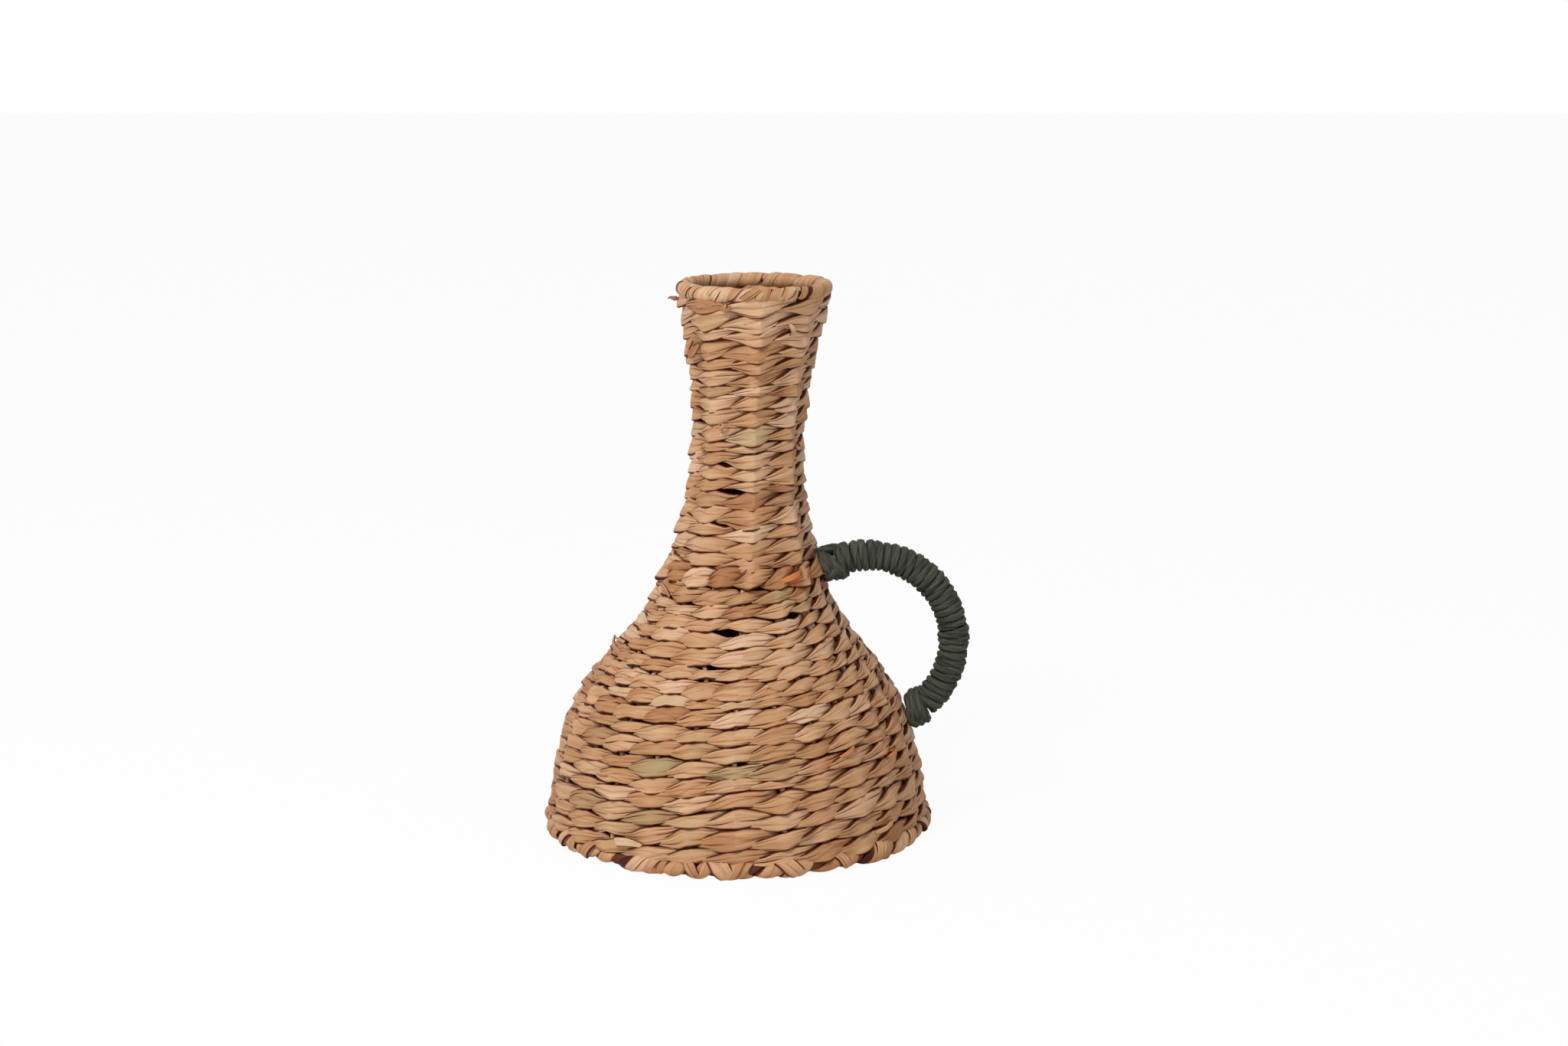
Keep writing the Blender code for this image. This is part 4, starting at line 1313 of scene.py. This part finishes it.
class BUDVASE_OT_floor_weave(BudVasePart):
    """Twine the rounds of the woven floor"""
    bl_idname = "budvase.floor_weave"
    bl_label = "Woven Floor"

    ROUNDS = 12
    STEPS = 7
    # Ribs of the inner rounds, and the first round that takes all the body's ribs
    INNER_RIBS = 12
    FIRST_FULL = 5
    # Height of the floor's middle, half a leaf's thickness, how far a strand goes up and down, and
    # the heights between which everything stays
    LEVEL = 0.0019
    HALF_LEAF = 0.0009
    WAVE = 0.0006
    PLEAT = 0.00008
    WITHIN = (0.0001, 0.0040)
    # Half width of a strand at a crossing, what it gains over a rib, and its rise between two
    # ribs, as shares of a round
    NARROW = 0.33
    WIDER = 0.2
    RISE = 0.2

    def build(self, scene):
        weave = scene.bud_vase_weave
        edge = BASE_RADIUS - BASE_TUBE
        pitch = edge / self.ROUNDS
        patches = []
        across, height_of = leaf_profile(*FLOOR_COLUMNS)
        for i in range(self.ROUNDS):
            draw = np.random.default_rng((weave.seed, 51, i))
            radius = edge * (i + 0.5) / self.ROUNDS
            ribs = BODY_RIBS if i >= self.FIRST_FULL else self.INNER_RIBS
            x = np.arange(ribs * self.STEPS) / self.STEPS
            for which in (0, 1):
                leaves = Leaves(draw, ribs // 2, 0.5, 0.45)
                phase, place = math.pi * (x - which), (x - which) / 2.0
                half = pitch * (self.NARROW + self.WIDER * np.abs(np.cos(phase)))
                rise = pitch * self.RISE * np.sin(phase)
                relief = pleated(across, leaves.at("pleats", place), leaves.at("phase", place))
                z = (self.LEVEL + (self.WAVE * np.cos(phase))[:, None]
                     + self.HALF_LEAF * height_of + self.PLEAT * relief)
                spot = (radius + rise)[:, None] + half[:, None] * across
                points = Wall.turned(FULL_TURN * x[:, None] / ribs, spot, np.clip(z, *self.WITHIN))
                # Painted shade in the pleats' bottoms
                looks = (leaves.at("tone", place)[:, None], leaves.at("hue", place)[:, None],
                         np.clip(-relief - 0.2, 0.0, 1.0))
                run = FULL_TURN * x / ribs * radius / MM + draw.uniform(0.0, FIBRE_SHIFT)
                patches.append(Patch(points, looks, run, across * TWINED_HALF, True))
        add_piece("floor_rounds", patches, leaf(scene), ["floor_weave"])


class HandleArc:
    """Half circle in the XZ plane between two seats on the wall's outer face."""

    def __init__(self):
        foot, top = (self.seat(height) for height in HANDLE_SEATS)
        self.centre = (top + foot) / 2.0
        self.radius = float(np.linalg.norm(top - foot)) / 2.0
        self.start = math.atan2(*(foot - self.centre)[::-1])
        self.length = math.pi * self.radius

    @staticmethod
    def seat(height):
        """Point off the outer face of the wall at a height, found by stepping along the wall."""
        s = WALL.at_height(height)
        for _ in range(8):
            point = WALL.place(math.pi / 2.0, s, HANDLE_SEAT_OUT)
            s += height - float(point[2])
        return np.array((float(point[0]), float(point[2])))

    def place(self, run, outwards, forwards):
        """Points at a run from the lower seat, away from the arc's centre and from Y=0.

        The angle is the start plus the run over the arc's radius, and the reach is that radius
        plus the outward distance.
        """
        angle = self.start + run / self.radius
        reach = self.radius + outwards
        return np.stack(np.broadcast_arrays(
            self.centre[0] + reach * np.cos(angle), -forwards,
            self.centre[1] + reach * np.sin(angle)), axis=-1)


ARC = HandleArc()
CORD_COLUMNS = 22
# Steps in a turn of cord round the handle
CORD_STEPS = 36
# Millimetres of fibre pattern to a radian round the cord
CORD_RUN = 1.9
# How far a turn strays along the handle and off it, the share by which its width does, and the
# run from the lower end over which the lean fades out
CORD_SWAY = 0.0003
CORD_PROUD = 0.00025
CORD_WIDER = 0.08
LEAN_RUN = 0.040
CORD_SQUEEZE = 0.10


def cord_section(cord_look, run, width, depth, draw):
    """Section of two-ply paper cord at places along it: offsets across and away.

    An ellipse of the half width and half depth, less the groove where the angle is near one of
    two opposite lines that turn once a lay, plus wrinkles that turn with them.
    """
    around = round_steps(CORD_COLUMNS)[None, :]
    turned = around - FULL_TURN * run[:, None] / cord_look.lay
    groove = np.exp(-(np.sin(turned) / 0.42) ** 2)
    phases = draw.uniform(0.0, FULL_TURN, 3)
    wrinkle = (np.sin(5.0 * turned + phases[0]) + np.sin(9.0 * turned + phases[1])
               + 0.7 * np.sin(13.0 * turned + 180.0 * run[:, None] + phases[2]))
    relief = -cord_look.groove * groove + cord_look.wrinkle * wrinkle
    across = (width[:, None] + relief) * np.cos(around)
    away = (depth[:, None] + relief) * np.sin(around)
    # Tone: a painted highlight on the wrinkles' crests, painted shade in their valleys and in the
    # groove
    tone = 0.5 + 0.12 * wrinkle - 0.30 * groove
    return around, across, away, tone


def wound_cord(cord_look, first, last, turns, core, draw):
    """Cord wound round the handle's arc.

    With t turns along the cord, the run goes evenly from first to last and the angle round the
    arc is t full turns, taken so that the front of a turn goes towards the lower end. Near that
    end the lean times the angle's cosine is added to the run. The section's half width is half
    a pitch times the press. Its half depth loses, on the bow's outer side, the squeeze times the
    winding's radius over the bow's.
    """
    t = np.arange(round(turns * CORD_STEPS) + 1) / CORD_STEPS
    count = int(math.ceil(turns)) + 2
    sway, proud, shade, wide = (np.interp(t, np.arange(count), draw.standard_normal(count)
                                          .clip(-1.8, 1.8)) for _ in range(4))
    pitch = (last - first) / turns
    turn = -FULL_TURN * t
    run = first + pitch * t + CORD_SWAY * sway
    run = run + cord_look.lean * smooth(LEAN_RUN, 0.0, run) * np.cos(turn)
    centre = core + cord_look.depth
    half = abs(pitch) / 2.0 * cord_look.press * (1.0 + CORD_WIDER * wide)
    depth = cord_look.depth * (1.0 - CORD_SQUEEZE * centre / ARC.radius * np.cos(turn))
    length_along = t * FULL_TURN * centre
    around, across, away, tone = cord_section(cord_look, length_along, half, depth, draw)
    reach = centre + CORD_PROUD * proud[:, None] + away
    points = ARC.place(run[:, None] + across, reach * np.cos(turn)[:, None],
                       reach * np.sin(turn)[:, None])
    looks = (tone + 0.08 * shade[:, None], 0.5, 0.0)
    return Patch(points, looks, length_along / MM, around[0] * CORD_RUN, False)


class BUDVASE_OT_handle(BudVasePart):
    """Wind the paper cord round the handle's cane core"""
    bl_idname = "budvase.handle"
    bl_label = "Handle"

    def build(self, scene):
        look = scene.bud_vase_cord
        draw = np.random.default_rng(61)
        core = HANDLE_THICKNESS / 2.0 - 2.0 * look.depth
        winding = wound_cord(look, WINDING_START, ARC.length - WINDING_START, look.turns, core,
                             draw)
        add_piece("cord_winding", [winding], cord(scene), ["handle_winding"])
        coat("handle_core", "split_cane", scene.bud_vase_colours.cane, 500.0, 0.6)


# Lashing cords, by their places in order: run from the wall in millimetres, angle round the
# handle in degrees (0 on the bow's outer side, 90 in front), reach off the handle's centre line
# and half width in millimetres
UPPER_LASHING = (
    ((6.5, -150, 4.4, 1.7), (4.0, -100, 5.0, 1.9), (2.6, -50, 5.6, 2.0), (2.0, 0, 6.0, 2.1),
     (2.9, 45, 6.1, 2.4), (4.6, 90, 6.2, 2.8), (6.5, 135, 6.8, 3.0), (7.6, 180, 7.3, 2.8),
     (7.4, 225, 6.6, 2.4), (6.2, 275, 5.6, 2.0), (5.0, 330, 4.8, 1.7)),
    ((3.0, -120, 4.0, 1.6), (1.4, -70, 4.8, 1.8), (0.4, -20, 5.4, 1.9), (0.2, 30, 5.7, 2.0),
     (1.2, 75, 5.9, 2.3), (2.8, 120, 6.3, 2.5), (4.0, 170, 6.6, 2.4), (4.2, 220, 6.0, 2.2),
     (3.2, 280, 5.0, 1.8)),
    ((-0.6, -10, 5.2, 1.6), (0.6, 2, 6.8, 1.9), (2.4, 10, 7.5, 1.9), (4.6, 14, 7.5, 1.7),
     (7.2, 18, 7.2, 1.6), (9.8, 26, 6.4, 1.5), (12.0, 36, 5.2, 1.3)),
    ((5.5, 100, 5.6, 1.6), (3.4, 118, 7.0, 1.9), (1.2, 128, 7.3, 1.9), (-0.8, 132, 6.7, 1.7),
     (-2.2, 134, 5.4, 1.4)),
)
LOWER_LASHING = (
    ((7.6, 260, 4.8, 1.6), (7.2, 225, 6.2, 1.8), (6.4, 185, 7.4, 2.0), (5.0, 145, 7.3, 2.0),
     (3.6, 100, 6.6, 2.0), (2.6, 55, 6.3, 2.0), (2.2, 10, 6.2, 2.0), (2.6, -40, 5.8, 1.9),
     (3.6, -90, 5.4, 1.8), (5.0, -140, 5.0, 1.6)),
    ((5.0, 255, 4.8, 1.6), (4.4, 220, 6.0, 1.7), (3.6, 185, 7.0, 1.8), (2.6, 145, 7.0, 1.9),
     (1.2, 100, 6.4, 1.9), (0.2, 55, 6.0, 1.9), (-0.2, 10, 5.8, 1.8), (0.2, -40, 5.4, 1.7),
     (1.4, -90, 4.8, 1.5)),
    ((9.4, 250, 4.8, 1.6), (9.4, 215, 6.0, 1.8), (8.8, 175, 6.8, 1.9), (7.4, 130, 6.8, 2.1),
     (6.0, 85, 6.6, 2.2), (4.9, 40, 6.6, 2.2), (4.6, -5, 6.4, 2.1), (5.2, -55, 5.8, 1.9),
     (6.4, -105, 5.0, 1.6)),
    ((2.4, 120, 5.2, 1.3), (0.6, 112, 6.9, 1.5), (-0.9, 92, 7.5, 1.6), (-0.9, 66, 7.5, 1.6),
     (0.6, 50, 7.3, 1.6), (2.4, 52, 6.9, 1.5), (3.6, 66, 5.4, 1.2)),
)


def lashing_cord(cord_look, knots, start, way, draw):
    """One cord of a lashing, carried through its places in the handle's own cylinder."""
    path = through(np.array(knots) * (MM, math.radians(1.0), MM, MM), 10)

    def place(run, turn, reach):
        return ARC.place(start + way * run, reach * np.cos(turn), reach * np.sin(turn))

    steps = np.linalg.norm(np.diff(place(*path.T[:3]), axis=0), axis=1)
    length_along = np.concatenate(([0.0], np.cumsum(steps)))
    depth = np.minimum(path[:, 3], cord_look.depth)
    around, across, away, tone = cord_section(cord_look, length_along, path[:, 3], depth, draw)
    points = carried(place, path[:, :3], across, away)
    return Patch(points, (tone, 0.5, 0.0), length_along / MM, around[0] * CORD_RUN, False)


class BUDVASE_OT_lashings(BudVasePart):
    """Lash the handle's ends to the wall with the same cord"""
    bl_idname = "budvase.lashings"
    bl_label = "Lashings"

    def build(self, scene):
        look = scene.bud_vase_cord
        for name, strands, start, way, seed in (("lower", LOWER_LASHING, 0.0, 1.0, 62),
                                                ("upper", UPPER_LASHING, ARC.length, -1.0, 63)):
            draw = np.random.default_rng(seed)
            patches = [lashing_cord(look, knots, start, way, draw) for knots in strands]
            add_piece(f"{name}_lashing_cord", patches, cord(scene),
                      [f"lashing_{name}"])


# Ends, knots and frays of leaf that stand off the weave, by their places in order: angle from
# the front, height and distance off the wall's middle; then widths, tone and hue
LOOSE_ENDS = (
    (((-24.5, 243.8, 1.2), (-22.5, 242.4, 3.0), (-19.8, 241.8, 3.8), (-17.0, 243.0, 1.8)),
     (1.0, 2.0, 1.8, 1.0), 0.22, 0.10),
    (((-22.8, 240.6, 1.4), (-21.8, 242.2, 3.6), (-20.6, 243.6, 3.6), (-21.4, 245.0, 1.8)),
     (1.0, 1.7, 1.5, 0.8), 0.40, 0.20),
    (((46.5, 12.6, 1.6), (49.0, 13.8, 4.2), (50.6, 15.4, 5.4), (52.6, 15.2, 4.2),
      (54.0, 13.4, 2.0)), (2.2, 3.0, 3.0, 2.4), 0.42, 0.40),
    (((-74.0, 82.4, 1.8), (-79.0, 82.6, 4.0), (-84.0, 83.4, 5.0), (-89.0, 84.8, 5.6)),
     (2.6, 2.4, 1.6, 0.7), 0.40, 0.42),
    (((-79.0, 86.0, 1.8), (-83.0, 85.4, 4.2), (-88.0, 84.6, 5.2)), (2.0, 1.6, 0.7), 0.50, 0.40),
    (((28.0, 119.0, 2.0), (34.0, 119.8, 4.8), (41.0, 120.9, 5.4), (49.0, 122.8, 2.8)),
     (1.6, 3.2, 3.4, 1.2), 0.60, -0.60),
    (((36.0, 48.0, 2.0), (38.2, 48.8, 4.0), (40.4, 50.2, 4.4), (42.4, 51.4, 2.4)),
     (1.2, 2.4, 2.2, 0.8), 0.60, -0.35),
    (((57.0, 42.4, 2.0), (59.0, 43.2, 4.2), (61.0, 44.6, 4.4), (63.0, 45.2, 2.2)),
     (1.0, 2.2, 2.0, 0.8), 0.60, -0.60),
    (((31.0, 234.4, 1.8), (32.2, 233.0, 3.6), (33.0, 231.4, 3.8), (33.4, 229.6, 2.2)),
     (1.6, 2.8, 2.8, 1.8), 0.66, 0.52),
    (((-66.0, 224.8, 1.4), (-64.0, 222.0, 3.8), (-60.0, 220.4, 4.8), (-55.0, 221.8, 4.2),
      (-52.0, 224.4, 2.2)), (2.4, 4.2, 4.4, 3.4, 1.6), 0.10, 0.20),
    (((-31.0, 189.0, 1.8), (-28.5, 188.2, 3.6), (-25.5, 188.4, 3.8), (-23.0, 189.6, 2.0)),
     (1.0, 1.8, 1.6, 0.8), 0.55, 0.20),
    (((58.5, 178.0, 1.4), (60.5, 176.8, 3.4), (62.6, 177.4, 3.8), (63.6, 179.2, 2.2)),
     (1.0, 1.8, 1.8, 1.0), 0.42, 0.15),
    (((-38.0, 11.0, 1.8), (-36.0, 12.2, 4.2), (-32.0, 13.0, 4.6), (-28.0, 12.0, 2.2)),
     (2.4, 4.2, 4.0, 1.8), 0.88, 0.50),
    (((-58.0, 110.0, 1.6), (-60.0, 112.0, 4.0), (-64.0, 113.4, 5.0), (-68.0, 113.0, 2.6)),
     (1.6, 2.4, 2.0, 1.0), 0.34, 0.30),
    (((118.0, 95.0, 1.6), (121.0, 96.6, 4.4), (124.0, 96.0, 5.4), (127.0, 97.2, 5.8)),
     (2.0, 2.2, 1.4, 0.6), 0.50, 0.42),
    (((-152.0, 60.0, 1.6), (-149.0, 61.6, 4.4), (-146.0, 61.0, 5.4), (-143.0, 62.6, 5.8)),
     (2.0, 2.2, 1.4, 0.6), 0.58, 0.45),
    (((-80.0, 246.0, 3.4), (-85.0, 246.8, 4.8), (-89.0, 248.0, 5.4), (-90.0, 249.4, 4.6)),
     (1.4, 1.2, 0.9, 0.4), 0.24, 0.20),
    (((-80.0, 243.4, 2.4), (-85.0, 243.2, 4.4), (-89.0, 244.2, 6.0), (-91.0, 243.6, 6.8)),
     (1.4, 1.2, 0.8, 0.4), 0.24, 0.20),
    (((172.0, 205.0, 1.6), (176.0, 206.6, 4.2), (181.0, 206.0, 5.0), (186.0, 207.4, 4.6)),
     (2.0, 2.2, 1.4, 0.6), 0.52, 0.40),
)


class BUDVASE_OT_loose_ends(BudVasePart):
    """Let the ends of spliced leaves stand off the weave"""
    bl_idname = "budvase.loose_ends"
    bl_label = "Loose Ends"

    def build(self, scene):
        draw = np.random.default_rng(71)
        patches = []
        for knots, widths, tone, hue in LOOSE_ENDS:
            places = [(math.radians(angle), WALL.at_height(height * MM), off * MM)
                      for angle, height, off in knots]
            patches.append(leaf_strip(WALL.place, places, np.array(widths) * MM, draw, tone, hue))
        add_piece("loose_leaf_ends", patches, leaf(scene))


WHITE = (1.0, 1.0, 1.0, 1.0)
# Floor and backdrop: half the floor's side, the share of it that the camera sees as plain white,
# and the sky's strength as a light. The camera sees the sky itself as plain white.
FLOOR_REACH = 6.0
FLOOR_WHITE = 0.94
SKY_LIGHT = 0.34
# Soft lights by name, place, size and power, all turned to one place on the vase's axis
SOFTBOXES = (("key_softbox", (-0.72, -1.2, 1.6), 0.6, 26.5),
             ("fill_softbox", (1.5, -1.2, 0.7), 1.2, 1.8))
AIM = (0.0, 0.0, 0.12)
# Camera fitted to the photograph: place, turn below level in radians, lens and sensor
CAMERA_PLACE = (0.0214, -1.262, 0.3923)
CAMERA_DOWN = 0.19707
LENS = 65.34
SENSOR = 36.0


class BUDVASE_OT_stage(BudVasePart):
    """Set the pale floor, the soft lights and the camera"""
    bl_idname = "budvase.stage"
    bl_label = "Stage"

    def build(self, scene):
        material, tree, shader = new_material("pale_floor")
        shader.inputs["Base Color"].default_value = scene.bud_vase_colours.floor
        shader.inputs["Roughness"].default_value = 0.9
        seen = node(tree, "ShaderNodeLightPath").outputs
        white = node(tree, "ShaderNodeEmission", Color=WHITE, Strength=1.0)
        share = node(tree, "ShaderNodeMath", {"operation": "MULTIPLY"},
                     _0=seen["Is Camera Ray"], _1=FLOOR_WHITE)
        both = node(tree, "ShaderNodeMixShader", _0=share.outputs[0], _1=shader.outputs[0],
                    _2=white.outputs[0])
        plug(tree, tree.nodes["Material Output"], Surface=both.outputs[0])
        mesh = bpy.data.meshes.new("studio_floor")
        corners = [(x * FLOOR_REACH, y * FLOOR_REACH, 0.0)
                   for x, y in ((-1, -1), (1, -1), (1, 1), (-1, 1))]
        mesh.from_pydata(corners, [], [(0, 1, 2, 3)])
        mesh.materials.append(material)
        floor = linked("studio_floor", mesh)

        world = bpy.data.worlds.new("studio")
        scene.world = world
        world.use_nodes = True
        tree = world.node_tree
        tree.nodes.clear()
        seen = node(tree, "ShaderNodeLightPath").outputs
        shown = node(tree, "ShaderNodeMath", {"operation": "MAXIMUM"}, _0=seen["Is Camera Ray"],
                     _1=seen["Is Glossy Ray"])
        shown = node(tree, "ShaderNodeMath", {"operation": "MAXIMUM"}, _0=shown.outputs[0],
                     _1=seen["Is Transmission Ray"])
        soft = node(tree, "ShaderNodeBackground", Color=WHITE, Strength=SKY_LIGHT)
        white = node(tree, "ShaderNodeBackground", Color=WHITE, Strength=1.0)
        both = node(tree, "ShaderNodeMixShader", _0=shown.outputs[0], _1=soft.outputs[0],
                    _2=white.outputs[0])
        node(tree, "ShaderNodeOutputWorld", Surface=both.outputs[0])

        for name, place, size, power in SOFTBOXES:
            lamp = bpy.data.lights.new(name, "AREA")
            lamp.shape = "SQUARE"
            lamp.size, lamp.energy = size, power
            item = linked(name, lamp)
            item.location = place
            towards = np.array(AIM) - np.array(place)
            away = math.atan2(math.hypot(towards[0], towards[1]), -towards[2])
            item.rotation_euler = (away, 0.0, math.atan2(-towards[0], towards[1]))

        view = bpy.data.cameras.new("studio_camera")
        view.lens, view.sensor_width = LENS, SENSOR
        view.clip_start, view.clip_end = 0.05, 50.0
        camera = linked("studio_camera", view)
        camera.location = CAMERA_PLACE
        camera.rotation_euler = (math.pi / 2.0 - CAMERA_DOWN, 0.0, 0.0)
        scene.camera = camera
        scene.view_settings.view_transform = "Standard"


GROUPS = (BudVaseWeave, BudVaseRings, BudVaseCord, BudVaseColours)
PARTS = (BUDVASE_OT_ribs, BUDVASE_OT_body_weave, BUDVASE_OT_shoulder_band,
         BUDVASE_OT_neck_weave, BUDVASE_OT_base_ring, BUDVASE_OT_floor_weave, BUDVASE_OT_rim,
         BUDVASE_OT_handle, BUDVASE_OT_lashings, BUDVASE_OT_loose_ends,
         BUDVASE_OT_stage)
SETTINGS = (("bud_vase_weave", BudVaseWeave), ("bud_vase_rings", BudVaseRings),
            ("bud_vase_cord", BudVaseCord), ("bud_vase_colours", BudVaseColours))


class BUDVASE_PT_panel(bpy.types.Panel):
    """Sizes, colours and parts of the vase"""
    bl_idname = "BUDVASE_PT_panel"
    bl_label = "Bud Vase"
    bl_space_type = "VIEW_3D"
    bl_region_type = "UI"
    bl_category = "Bud Vase"

    def draw(self, context):
        for name, group in SETTINGS:
            box = self.layout.box()
            for key in group.__annotations__:
                box.prop(getattr(context.scene, name), key)
        for part in PARTS:
            self.layout.operator(part.bl_idname)


def register():
    for item in (*GROUPS, *PARTS, BUDVASE_PT_panel):
        bpy.utils.register_class(item)
    for name, group in SETTINGS:
        setattr(bpy.types.Scene, name, bpy.props.PointerProperty(type=group))


def unregister():
    for name, _ in SETTINGS:
        delattr(bpy.types.Scene, name)
    for item in reversed((*GROUPS, *PARTS, BUDVASE_PT_panel)):
        bpy.utils.unregister_class(item)


def main():
    register()
    for part in PARTS:
        group, name = part.bl_idname.split(".")
        getattr(getattr(bpy.ops, group), name)()


if __name__ == "__main__":
    main()
